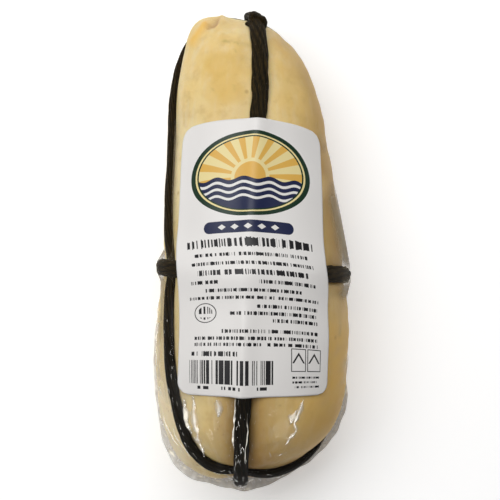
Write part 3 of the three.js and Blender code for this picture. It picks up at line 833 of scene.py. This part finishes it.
def creaseMesh(name):
    tree = BVHTree.FromPolygons(filmPoints.reshape(-1, 3).tolist(), ringQuads(tall, around))
    sides = crease["sides"]
    points, quads, total, turn = [], [], 0, turnsOf(sides)
    fields = dict(shine=[], frost=[], haze=[], gleam=[], glint=[])
    for path, width, (milk, least, gloss, soft, bright) in linePaths(tree) + strayPaths(tree):
        path, half = creaseStrip(path, width)
        ahead = unit(np.gradient(path, axis=0))
        side = unit(np.cross(ahead, outwardAt(path)))
        half, rise = half[:, None], np.minimum(half, crease["height"])[:, None]
        points.append(tube(path, side, np.cross(side, ahead), half, rise, turn).reshape(-1, 3))
        rows, ring = len(path), list(range(sides))
        ends = [ring, [(rows - 1) * sides + j for j in ring][::-1]]
        quads += [[v + total for v in face] for face in ringQuads(rows, sides) + ends]
        total += rows * sides
        share = np.linspace(0, 1, rows)
        broken = crease["breakEven"] + sum(waved(path, *wave) for wave in crease["breaks"])
        fade = np.clip(4 * share * (1 - share), crease["fadeLeast"], 1) * np.clip(broken, least, 1) * milk
        haze = fade[:, None] * np.abs(np.sin(turn)) ** soft
        for field, values in zip(fields, (1.0, 1.0, haze, gloss, bright)):
            fields[field].append((values + 0 * haze).ravel())
    piece = toMesh(name, np.concatenate(points), quads)
    for field, values in fields.items():
        setField(piece, field, np.concatenate(values))
    return piece


filmCreases = creaseMesh("film_creases")
print("creases:", len(filmCreases.data.polygons), "faces")

# The label
label = dict(
    width=61.0, length=105.3, corner=5.0, across=2.8, along=81.3, turn=-1.4, thick=0.2, cells=(88, 136),
    passes=160, pull=0.006, evening=60, lifts=4, liftMuch=1.5, liftSpread=50, clear=0.1, gap=0.12,
    radius=34.0, settles=6, pastLeft=39,  # radius of the front; columns of the log past its left cord
    # mm along it from its middle, then mm to the right: how it gives where the girdle lifts it
    sway=((-53.0, 0.0), (-20.0, 0.0), (-8.0, -0.2), (0.0, -1.2), (8.0, -2.0), (20.0, -1.7), (33.0, -1.2),
          (45.0, -0.3), (53.0, 0.3)),
    nip=(0.038, -3.0, 8.0),  # share of its width taken up by the girdle, where and how far
)
paperHeight = spread(relaxed(filmHeight, filmHeight, label["pull"], label["passes"]), label["evening"])
for again in range(label["lifts"]):
    short = np.clip(filmHeight + label["clear"] - paperHeight, 0, None)
    paperHeight = paperHeight + label["liftMuch"] * spread(short, label["liftSpread"])
paperHeight = np.maximum(paperHeight, filmHeight) + label["gap"]
lastColumn = 2 * frontColumn + label["pastLeft"]
arc, span = np.zeros((tall, around)), apart(base, np.roll(base, -1, 1))
arc[:, frontColumn + 1:lastColumn + 1] = np.cumsum(span[:, frontColumn:lastColumn], 1)
arc[:, :frontColumn] = -np.cumsum(span[:, :frontColumn][:, ::-1], 1)[:, ::-1]


def sampled(field, row, col):
    i, j = np.clip(np.floor(row).astype(int), 0, tall - 2), np.floor(col).astype(int)
    a, b = row - i, col - j
    if field.ndim == 3:
        a, b = a[..., None], b[..., None]
    return mixed(mixed(field[i, j], field[i, j + 1], b), mixed(field[i + 1, j], field[i + 1, j + 1], b), a)


def labelPlaces(across, lengthways):
    turn, (nip, nipAt, nipReach) = math.radians(label["turn"]), label["nip"]
    across = across * (1 - nip * near(lengthways - nipAt, nipReach)) + through(label["sway"], lengthways)
    sideways = label["across"] + across * math.cos(turn) + lengthways * math.sin(turn)
    forward = label["along"] + lengthways * math.cos(turn) - across * math.sin(turn)
    level = np.flatnonzero(ringTilt == 0)
    front = base[level, frontColumn]
    taper = np.interp(forward, ringAlong[level], np.gradient(front[:, 2], ringAlong[level]))
    wanted = forward + taper * sideways ** 2 / (2 * label["radius"])
    place = wanted.copy()
    for again in range(label["settles"]):
        place = wanted + shear(place) * np.cos(sideways / label["radius"])
    row = np.interp(place, ringAlong[level], level)
    cols = []
    for pick in (np.floor(row).astype(int), np.floor(row).astype(int) + 1):
        col = np.empty_like(row)
        for r in np.unique(pick):
            here = pick == r
            reach = arc[r, :lastColumn]
            line = np.interp(math.pi / 2, columns[r, :lastColumn], reach)  # the line between the crossings
            col[here] = np.interp(line - sideways[here], reach, np.arange(lastColumn))
        cols.append(col)
    return row, mixed(cols[0], cols[1], row - np.floor(row))


def labelSheet(name):
    wide, high = label["cells"]
    lengthways = np.linspace(-1, 1, high + 1) * label["length"] / 2
    past = np.clip(np.abs(lengthways) - (label["length"] / 2 - label["corner"]), 0, label["corner"])
    half = label["width"] / 2 - (label["corner"] - np.sqrt(label["corner"] ** 2 - past ** 2))
    across = half[:, None] * np.linspace(-1, 1, wide + 1)[None]
    length = lengthways[:, None] + 0 * across
    row, col = labelPlaces(across, length)
    point, out = sampled(base, row, col), unit(sampled(outward, row, col))
    lower = point + out * sampled(paperHeight, row, col)[..., None]
    piece = sheetMesh(name, lower + out * label["thick"], lower)
    place = np.stack([across, length, 0 * across], -1).reshape(-1, 3)
    setField(piece, "place", np.concatenate([place, place]), "FLOAT_VECTOR")
    return piece


paper = labelSheet("label_paper")
print("label:", len(paper.data.polygons), "faces")


# Materials
class Wire:
    def __init__(self, tree, socket=None):
        self.tree, self.socket = tree, socket

    def node(self, kind, settings=None, inputs=None, output=0):
        made = self.tree.nodes.new("ShaderNode" + kind)
        for key, value in (settings or {}).items():
            setattr(made, key, value)
        for key, value in (inputs or {}).items():
            if isinstance(value, Wire):
                self.tree.links.new(value.socket, made.inputs[key])
            else:
                made.inputs[key].default_value = value
        return Wire(self.tree, made.outputs[output] if made.outputs else None)

    def maths(self, operation, a, b=0.0):
        return self.node("Math", {"operation": operation}, {0: a, 1: b})

    def __add__(self, other):
        return self.maths("ADD", self, other)

    def __radd__(self, other):
        return self.maths("ADD", other, self)

    def __sub__(self, other):
        return self.maths("SUBTRACT", self, other)

    def __rsub__(self, other):
        return self.maths("SUBTRACT", other, self)

    def __mul__(self, other):
        return self.maths("MULTIPLY", self, other)

    def __rmul__(self, other):
        return self.maths("MULTIPLY", other, self)

    def __truediv__(self, other):
        return self.maths("DIVIDE", self, other)

    def least(self, other):
        return self.maths("MINIMUM", self, other)

    def most(self, other):
        return self.maths("MAXIMUM", self, other)

    def over(self, edge):
        return self.maths("GREATER_THAN", self, edge)

    def size(self):
        return self.maths("ABSOLUTE", self)

    def sine(self):
        return self.maths("SINE", self)

    def root(self):
        return self.maths("SQRT", self)

    def squared(self):
        return self.maths("POWER", self, 2.0)

    def steps(self, wide):
        return self.maths("FLOOR", self / wide)

    def part(self):
        return self.maths("FRACT", self)

    def between(self, low, high):
        return 1 - (self - (low + high) / 2).size().over((high - low) / 2)

    def lot(self, row):
        at = self.node("CombineXYZ", None, {0: self, 1: row})
        return self.node("TexWhiteNoise", {"noise_dimensions": "2D"}, {"Vector": at})

    def stripes(self, step, seed, bare):
        return self.steps(step).lot(seed).over(bare)

    def ramp(self, low, high):
        return self.node("MapRange", {"interpolation_type": "SMOOTHSTEP"}, {0: self, 1: low, 2: high})

    def tint(self, a, b):
        return self.node("Mix", {"data_type": "RGBA"}, {0: self, 6: a, 7: b}, 2)

    def field(self, name, output=2):
        return self.node("Attribute", {"attribute_name": name}, None, output)

    def place(self):
        return self.node("TexCoord", None, None, 3)

    def axis(self, which):
        return self.node("SeparateXYZ", None, {0: self}, which)

    def stretched(self, by):
        return self.node("VectorMath", {"operation": "MULTIPLY"}, {0: self, 1: by})

    def noise(self, scale, detail, roughness=0.5):
        inputs = {"Vector": self, "Scale": scale, "Detail": detail, "Roughness": roughness}
        return self.node("TexNoise", None, inputs)

    def dots(self, scale):
        return self.node("TexVoronoi", None, {"Vector": self, "Scale": scale, "Randomness": 1.0})

    def bump(self, strength, distance):
        return self.node("Bump", None, {"Strength": strength, "Distance": distance, "Height": self})


def colour(r, g, b):
    def level(v):
        v /= 255
        return v / 12.92 if v <= 0.04045 else ((v + 0.055) / 1.055) ** 2.4
    return (level(r), level(g), level(b), 1.0)


def newMaterial(name):
    material = bpy.data.materials.new(name)
    material.use_nodes = True
    material.node_tree.nodes.clear()
    return material, Wire(material.node_tree)


def finishMaterial(material, wire, shader):
    wire.node("OutputMaterial", None, {"Surface": shader})
    return material


rindLook = dict(
    # Some colours stand for painted light: the bright amber of the ridge streaks is highlight, the pinkish
    # brown in the crease and the smoky brown are shade, the near black is shadow beside the lower cord, and
    # the palest cream is sheen low on the left.
    cream=colour(241, 221, 167), amber=colour(238, 206, 133), low=colour(224, 195, 128),
    pale=colour(238, 222, 184), brown=colour(168, 122, 66), stain=colour(226, 188, 104),
    creaseShade=colour(184, 140, 100), paintedShade=colour(156, 108, 22), dusk=colour(206, 172, 112),
    warm=colour(222, 174, 72), amberHighlight=colour(244, 196, 96), scuff=colour(150, 136, 66),
    gap=colour(52, 36, 12), light=colour(250, 238, 208),
    # noises: scale, detail, roughness
    cloud=(22.0, 2.0, 0.6), blotch=(60.0, 4.0, 0.6), mottle=(190.0, 5.0, 0.6), fine=(420.0, 3.0, 0.6),
    curd=(330.0, 3.0, 0.6), rare=(75.0, 1.0, 0.6), patchy=(120.0, 1.0, 0.6),
    curdPull=(1.0, 0.12, 1.0), specks=150.0, freckles=520.0, lowerFade=(0.35, 7.0, 0.5),
    bump=(0.18, 0.0005), bumpMottle=0.6, roughness=0.5, specular=0.22,
    glow=dict(weight=0.2, radius=(1.0, 0.6, 0.25), scale=0.003),
)


def cheeseRind():
    look = rindLook
    material, w = newMaterial("smoked_rind")
    place = w.place()
    cloud, blotch, mottle, fine, rare, patchy = [
        place.noise(*look[name]) for name in ("cloud", "blotch", "mottle", "fine", "rare", "patchy")]
    curd = place.stretched(look["curdPull"]).noise(*look["curd"])  # faint lengthwise streaks
    y, (start, slope, uneven) = place.axis(1), look["lowerFade"]
    lower = (start - slope * y + uneven * (blotch - 0.5)).ramp(0.2, 1.0)
    specks = (1 - place.dots(look["specks"]).ramp(0.05, 0.20)) * rare.ramp(0.55, 0.65)
    freckles = (1 - place.dots(look["freckles"]).ramp(0.10, 0.30)) * patchy.ramp(0.50, 0.62)
    tone = cloud.ramp(0.40, 0.64).tint(look["cream"], look["amber"])
    # laid one over another, each by its share
    coats = (
        (blotch.ramp(0.50, 0.74) * 0.18, "pale"),
        (lower * 0.75, "low"),
        (mottle.ramp(0.46, 0.72) * 0.42, "dusk"),
        (curd.ramp(0.45, 0.70) * 0.36, "pale"),
        # painted highlight beside the front and back cords
        (w.field("pale") * 0.10, "pale"),
        (y.ramp(0.055, 0.085) * 0.15, "pale"),
        (w.field("warm"), "warm"),
        # painted sheen low on the left
        (w.field("light") * 0.55, "light"),
        (w.field("stain") * 0.6 * (0.6 + 0.8 * mottle), "stain"),
        # amber streaks brightened as a painted highlight
        (w.field("amber") * 0.9, "amberHighlight"),
        # painted shade in the crease beside the knob
        (w.field("creaseShade") * 0.75, "creaseShade"),
        (w.field("scuff") * fine.ramp(0.35, 0.65) * 0.5, "scuff"),
        # painted shade on the right flank, at the ends and beside the lower cord
        (w.field("paintedShade") * (0.7 + 0.6 * blotch), "paintedShade"),
        # painted shadow beside the lower cord
        (w.field("gap"), "gap"),
        (specks * 0.45, "brown"),
        (freckles * (0 - y).ramp(0.040, 0.058) * 0.35, "brown"),
    )
    for share, name in coats:
        tone = share.tint(tone, look[name])
    glow, bump = look["glow"], (fine + look["bumpMottle"] * mottle).bump(*look["bump"])
    shader = w.node("BsdfPrincipled", None, {
        "Base Color": tone, "Roughness": look["roughness"], "Normal": bump,
        "Specular IOR Level": look["specular"], "Subsurface Weight": glow["weight"],
        "Subsurface Radius": glow["radius"], "Subsurface Scale": glow["scale"]})
    return finishMaterial(material, w, shader)


twineLook = dict(
    # the near-black gap colour is painted shade in the grooves, and also darkens the lower end
    dark=colour(16, 12, 3), light=colour(84, 66, 30), gap=colour(4, 3, 1), fibrePull=(0.09, 5.0, 0.0),
    fibre=(3.2, 6.0, 0.7), fibreTone=(0.40, 0.70), grooveShade=0.85, lower=(0.005, 0.05), lowerShare=0.7,
    grooveBump=0.6, bump=(0.9, 0.0006), roughness=0.65, specular=0.12,
)


def darkTwine():
    look = twineLook
    material, w = newMaterial("dark_twine")
    lay = w.field("lay", 1)
    fibre, groove = lay.stretched(look["fibrePull"]).noise(*look["fibre"]), lay.axis(2)
    tone = fibre.ramp(*look["fibreTone"]).tint(look["dark"], look["light"])
    # painted shade in the grooves between strands
    tone = (groove * look["grooveShade"]).tint(tone, look["gap"])
    lower = (0 - w.place().axis(1)).ramp(*look["lower"])
    tone = (lower * look["lowerShare"]).tint(tone, look["gap"])
    bump = (fibre - look["grooveBump"] * groove).bump(*look["bump"])
    shader = w.node("BsdfPrincipled", None, {
        "Base Color": tone, "Roughness": look["roughness"], "Normal": bump,
        "Specular IOR Level": look["specular"]})
    return finishMaterial(material, w, shader)


filmLook = dict(
    # the brown milk is painted shade seen through the film, and the glint colour a painted glow
    clear=(0.985, 0.983, 0.978, 1), shadedMilk=(0.28, 0.215, 0.115, 1), milk=(0.97, 0.955, 0.92, 1),
    dark=(0, 0, 0, 1), glint=(0.50, 0.46, 0.36, 1), glintStrength=1.0,
    webFacing=0.5, webEdge=(0.40, 0.75), ripple=(170.0, 2.5), bump=(0.30, 0.0008), ior=1.46,
    # where it clings, then by how much that changes where it shines
    roughness=(0.42, 0.38), edgeShare=(0.10, 0.90), edgeMost=(0.012, 0.030),
    milkRoughness=0.45, milkSpecular=0.12,
)


def clearFilm():
    look = filmLook
    material, w = newMaterial("clear_film")
    shine, haze, web, gleam, frost, glint = [
        w.field(name) for name in ("shine", "haze", "web", "gleam", "frost", "glint")]
    edgeOn = w.node("LayerWeight", None, {"Blend": look["webFacing"]}, 1)
    # the milk it shows there is brown, a painted shade of the hollow under the tent
    haze = haze + web * edgeOn.ramp(*look["webEdge"])  # stretched film shows where it is seen edge on
    bump = w.place().noise(*look["ripple"]).bump(*look["bump"])
    edge = w.node("Fresnel", None, {"IOR": look["ior"], "Normal": bump})
    clear = w.node("BsdfTransparent", None, {"Color": look["clear"]})
    rough, smoother = look["roughness"]
    (share, shareMore), (most, mostMore) = look["edgeShare"], look["edgeMost"]
    gloss = w.node("BsdfGlossy", None, {"Roughness": rough - smoother * shine, "Normal": bump})
    edge = (edge * (share + shareMore * shine)).least(most + mostMore * shine) * gleam
    cling = w.node("MixShader", None, {0: edge, 1: clear, 2: gloss})
    # the milk's white on creases and rim sparks is painted highlight, its brown painted shade, and its
    # emission a painted glow
    milk = w.node("BsdfPrincipled", None, {
        "Base Color": frost.tint(look["shadedMilk"], look["milk"]), "Roughness": look["milkRoughness"],
        "Normal": bump, "Specular IOR Level": look["milkSpecular"],
        "Emission Color": glint.tint(look["dark"], look["glint"]),
        "Emission Strength": look["glintStrength"]})
    shader = w.node("MixShader", None, {0: haze, 1: cling, 2: milk})
    return finishMaterial(material, w, shader)


printed = dict(
    paper=colour(236, 233, 230), ink=colour(20, 18, 22), green=colour(10, 46, 26), navy=colour(18, 28, 68),
    cream=colour(238, 220, 158), gold=colour(226, 178, 84), white=colour(232, 230, 226),
    # middle, height, from, to: rows of plain strokes, in mm from the label's middle
    rows=(
        (4.6, 3.8, -25.0, 25.0), (0.0, 1.5, -22.0, 22.0), (-3.4, 1.5, -24.0, 24.5),
        (-6.9, 2.2, -21.0, 21.0), (-10.4, 1.5, -24.0, -13.0), (-10.4, 1.5, 2.0, 24.0),
        (-13.5, 1.4, -18.0, 18.0), (-16.2, 1.3, -25.0, 25.5), (-19.4, 1.5, 1.0, 25.0),
        (-22.0, 1.5, -9.0, 25.0), (-24.6, 1.5, 7.0, 25.0), (-28.6, 1.5, -12.0, 25.0),
        (-31.2, 1.4, -23.0, 25.0), (-33.5, 1.4, -23.0, 25.0), (-37.0, 2.0, -24.5, -6.0),
        (-45.6, 0.9, 14.5, 26.0), (-47.4, 0.9, 14.5, 25.0), (-49.2, 0.9, 15.5, 26.0),
    ),
    # strokes: width, share left bare, height that all reach; what is left to chance has a seed for its row
    stroke=0.17, strokeBare=0.26, strokeTall=0.72, leastHalf=0.01, strokeSeeds=(40.0, 80.0),
    gaps=((13.0, 0.37, 0.11), (21.0, 0.61, 0.08)),  # strokes from gap to gap, shift by row, share of it
    # bars, ticks and what is in the small oval: step, seed, share left bare
    barSpan=(-25.0, 7.5, -48.2, -39.4), bars=(0.31, 7.0, 0.46),
    tickSpan=(-50.2, -49.0), ticks=(0.55, 9.0, 0.45), tickGroups=(2.4, 11.0, 0.3),
    oval=(-18.5, -21.8, 4.6, 3.7), ovalLine=0.84, ovalInside=0.45,
    ovalBars=(0.4, 15.0, 0.4), ovalGaps=(1.3, 17.0, 0.35),
    boxes=((14.0, 20.0), (20.6, 26.6)), boxSpan=(-43.4, -34.6), boxLine=0.32,
    peak=(3.2, 7.4, 2.6, 0.62, 0.75),  # a plain triangle in each box: foot, top, half width, slope, line
    # a sun over water in an oval
    medal=(0.0, 31.2, 24.0, 16.6), medalRing=(0.77, 0.83), medalInside=0.72,
    sunDown=1.5, sunRadius=5.8, rays=18.0, rayEdge=0.15, raysFrom=7.2,
    seaDown=1.8, waveHigh=0.7, waveRate=0.62, crests=((-2.2, 0.55), (-4.8, 0.5), (-7.4, 0.5)),
    # a band with rounded ends and plain diamonds
    pill=(0.0, 10.6, 15.0, 2.3), gems=(-10.0, -5.0, 0.0, 5.0, 10.0), gemSlope=0.7, gemSize=1.1,
    grain=(900.0, 2.0), bump=(0.05, 0.0002), roughness=(0.36, 0.1), specular=0.4,
)


def ovalAround(u, v, at):
    return ((u - at[0]) / at[2]).squared() + ((v - at[1]) / at[3]).squared()


def strokeRows(u, v):
    p = printed
    rowId, ink, rowMiddle, rowHalf = 0.0, 0.0, 0.0, p["leastHalf"]
    for n, (middle, height, left, right) in enumerate(p["rows"]):
        inside = v.between(middle - height / 2, middle + height / 2) * u.between(left, right)
        ink, rowId = inside + ink, inside * (n + 1.0) + rowId
        rowMiddle, rowHalf = inside * middle + rowMiddle, inside * (height / 2) + rowHalf
    wide = p["stroke"] + p["stroke"] * rowHalf  # wider in taller rows
    cell, (seed, tallSeed) = u.steps(wide), p["strokeSeeds"]
    words = [(u / (wide * strokes) + rowId * shift).part().over(bare) for strokes, shift, bare in p["gaps"]]
    reach = p["strokeTall"] + (1 - p["strokeTall"]) * cell.lot(rowId + tallSeed)
    within = 1 - ((v - rowMiddle).size() / rowHalf).over(reach)
    return ink * (words[0] * words[1]) * cell.lot(rowId + seed).over(p["strokeBare"]) * within


def barsAndMarks(u, v, ink):
    p = printed
    left, right, low, high = p["barSpan"]
    inside = u.between(left, right)
    ink = ink.most(u.stripes(*p["bars"]) * inside * v.between(low, high))
    ink = ink.most(u.stripes(*p["ticks"]) * inside * v.between(*p["tickSpan"]) * u.stripes(*p["tickGroups"]))
    (low, high), line = p["boxSpan"], p["boxLine"]
    foot, top, halfWide, slope, thick = p["peak"]
    for left, right in p["boxes"]:
        box = u.between(left, right) * v.between(low, high)
        box = box - u.between(left + line, right - line) * v.between(low + line, high - line)
        side = halfWide - (v - (low + foot)) * slope - (u - (left + right) / 2).size()
        peak = side.over(0.0) * (1 - side.over(thick)) * v.between(low + foot, low + top)
        ink = ink.most(box.most(peak))
    ring = ovalAround(u, v, p["oval"])
    ink = ink.most(ring.over(p["ovalLine"]) * (1 - ring.over(1.0)))
    return ink.most(u.stripes(*p["ovalBars"]) * (1 - ring.over(p["ovalInside"])) * v.stripes(*p["ovalGaps"]))


def sunOverWater(u, v, tone):
    p = printed
    medal = ovalAround(u, v, p["medal"])
    x, y = u - p["medal"][0], v - p["medal"][1]
    inside, (ringIn, ringOut) = 1 - medal.over(p["medalInside"]), p["medalRing"]
    tone = (1 - medal.over(1.0)).tint(tone, p["green"])
    tone = ((1 - medal.over(ringOut)) * medal.over(ringIn)).tint(tone, p["cream"])
    tone = inside.tint(tone, p["cream"])
    up = y + p["sunDown"]
    sun = (x * x + up * up).root()
    ray = (u.maths("ARCTAN2", up, x) * p["rays"]).sine().over(p["rayEdge"])
    tone = (inside * ray * sun.over(p["raysFrom"])).tint(tone, p["gold"])
    tone = (inside * (1 - sun.over(p["sunRadius"]))).tint(tone, p["gold"])
    wave = y + p["seaDown"] + p["waveHigh"] * (x * p["waveRate"]).sine()
    tone = (inside * (1 - wave.over(0.0))).tint(tone, p["navy"])
    for depth, thick in p["crests"]:
        tone = (inside * (1 - (wave - depth).size().over(thick))).tint(tone, p["white"])
    return tone


def diamondBand(u, v, tone):
    p = printed
    midX, midY, half, radius = p["pill"]
    past, off = ((u - midX).size() - half).most(0.0), v - midY
    tone = (1 - (past * past + off * off).root().over(radius)).tint(tone, p["navy"])
    for at in p["gems"]:
        gem = 1 - ((u - at).size() * p["gemSlope"] + off.size()).over(p["gemSize"])
        tone = gem.tint(tone, p["white"])
    return tone


def labelPaper():
    p = printed
    material, w = newMaterial("label_paper")
    place = w.field("place", 1)
    u, v = place.axis(0), place.axis(1)
    tone = barsAndMarks(u, v, strokeRows(u, v)).tint(p["paper"], p["ink"])
    tone = diamondBand(u, v, sunOverWater(u, v, tone))
    grain, (smoothest, rougher) = w.place().noise(*p["grain"]), p["roughness"]
    shader = w.node("BsdfPrincipled", None, {
        "Base Color": tone, "Roughness": smoothest + rougher * grain, "Normal": grain.bump(*p["bump"]),
        "Specular IOR Level": p["specular"]})
    return finishMaterial(material, w, shader)


twine, wrap = darkTwine(), clearFilm()
for piece, material, slot, node in (
        (cheese, cheeseRind(), "cheese", "packed_cheese"),
        (filmSkin, wrap, "cheese", "packed_cheese"),
        (filmRim, wrap, "cheese", "packed_cheese"),
        (filmCreases, wrap, "cheese", "packed_cheese"),
        (cordFrontBack, twine, "cord", "cord_front_back"),
        (cordHitch, twine, "cord", "cord_front_back"),
        (cordSides, twine, "cord", "cord_sides"),
        (cordGirdle, twine, "cord", "cord_girdle"),
        (paper, labelPaper(), "label", "label"),
):
    piece.data.materials.append(material)
    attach(piece, "root")
    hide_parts(node)
print("materials set")

# Floor, light and camera, in metres
studio = dict(
    cameraHeight=0.543, cameraPlace=(-0.00155, -0.00198), roll=2.35, lens=91.8, nearest=0.01,
    aim=(0, 0, 0.03), white=(1, 1, 1, 1), worldLight=0.17,
    floorSize=6.0, floorDrop=-0.0004, floorTone=colour(243, 243, 243), floorRoughness=0.7, floorGlow=0.36,
    # place, size, power
    key=((-0.24, 0.38, 0.89), (1.3, 0.6), 8.8),
    stripLeft=((-0.47, -0.67, 0.45), (0.16, 0.6), 3.0), stripRight=((0.47, -0.67, 0.45), (0.16, 0.6), 3.0),
)


def softBox(name, place, size, power):
    lamp = bpy.data.lights.new(name, "AREA")
    lamp.shape, lamp.size, lamp.size_y, lamp.energy = "RECTANGLE", size[0], size[1], power
    holder = bpy.data.objects.new(name, lamp)
    holder.location = place
    bpy.context.scene.collection.objects.link(holder)
    holder.rotation_mode = "QUATERNION"
    holder.rotation_quaternion = (Vector(studio["aim"]) - Vector(place)).to_track_quat("-Z", "Y")
    return holder


def buildStudio():
    bpy.ops.mesh.primitive_plane_add(size=studio["floorSize"], location=(0, 0, studio["floorDrop"]))
    floor = bpy.context.object
    floor.name = "floor"
    material, w = newMaterial("pale_floor")
    shader = w.node("BsdfPrincipled", None, {
        "Base Color": studio["floorTone"], "Roughness": studio["floorRoughness"],
        "Emission Color": studio["white"], "Emission Strength": studio["floorGlow"]})
    floor.data.materials.append(finishMaterial(material, w, shader))
    for name in ("key", "stripLeft", "stripRight"):
        lamp = softBox(name, *studio[name])
        lamp.visible_diffuse = name == "key"  # the strips only draw lines of light in the film
    world = bpy.data.worlds.new("studio")
    world.use_nodes = True
    background = world.node_tree.nodes["Background"]
    background.inputs["Color"].default_value = studio["white"]
    background.inputs["Strength"].default_value = studio["worldLight"]
    bpy.context.scene.world = world
    camera = bpy.data.objects.new("camera", bpy.data.cameras.new("camera"))
    bpy.context.scene.collection.objects.link(camera)
    camera.location = (*studio["cameraPlace"], studio["cameraHeight"])
    camera.rotation_euler = (0, 0, math.radians(studio["roll"]))
    camera.data.lens = studio["lens"]
    camera.data.clip_start = studio["nearest"]
    bpy.context.scene.camera = camera
    bpy.context.scene.view_settings.view_transform = "Standard"


buildStudio()
print("studio set")
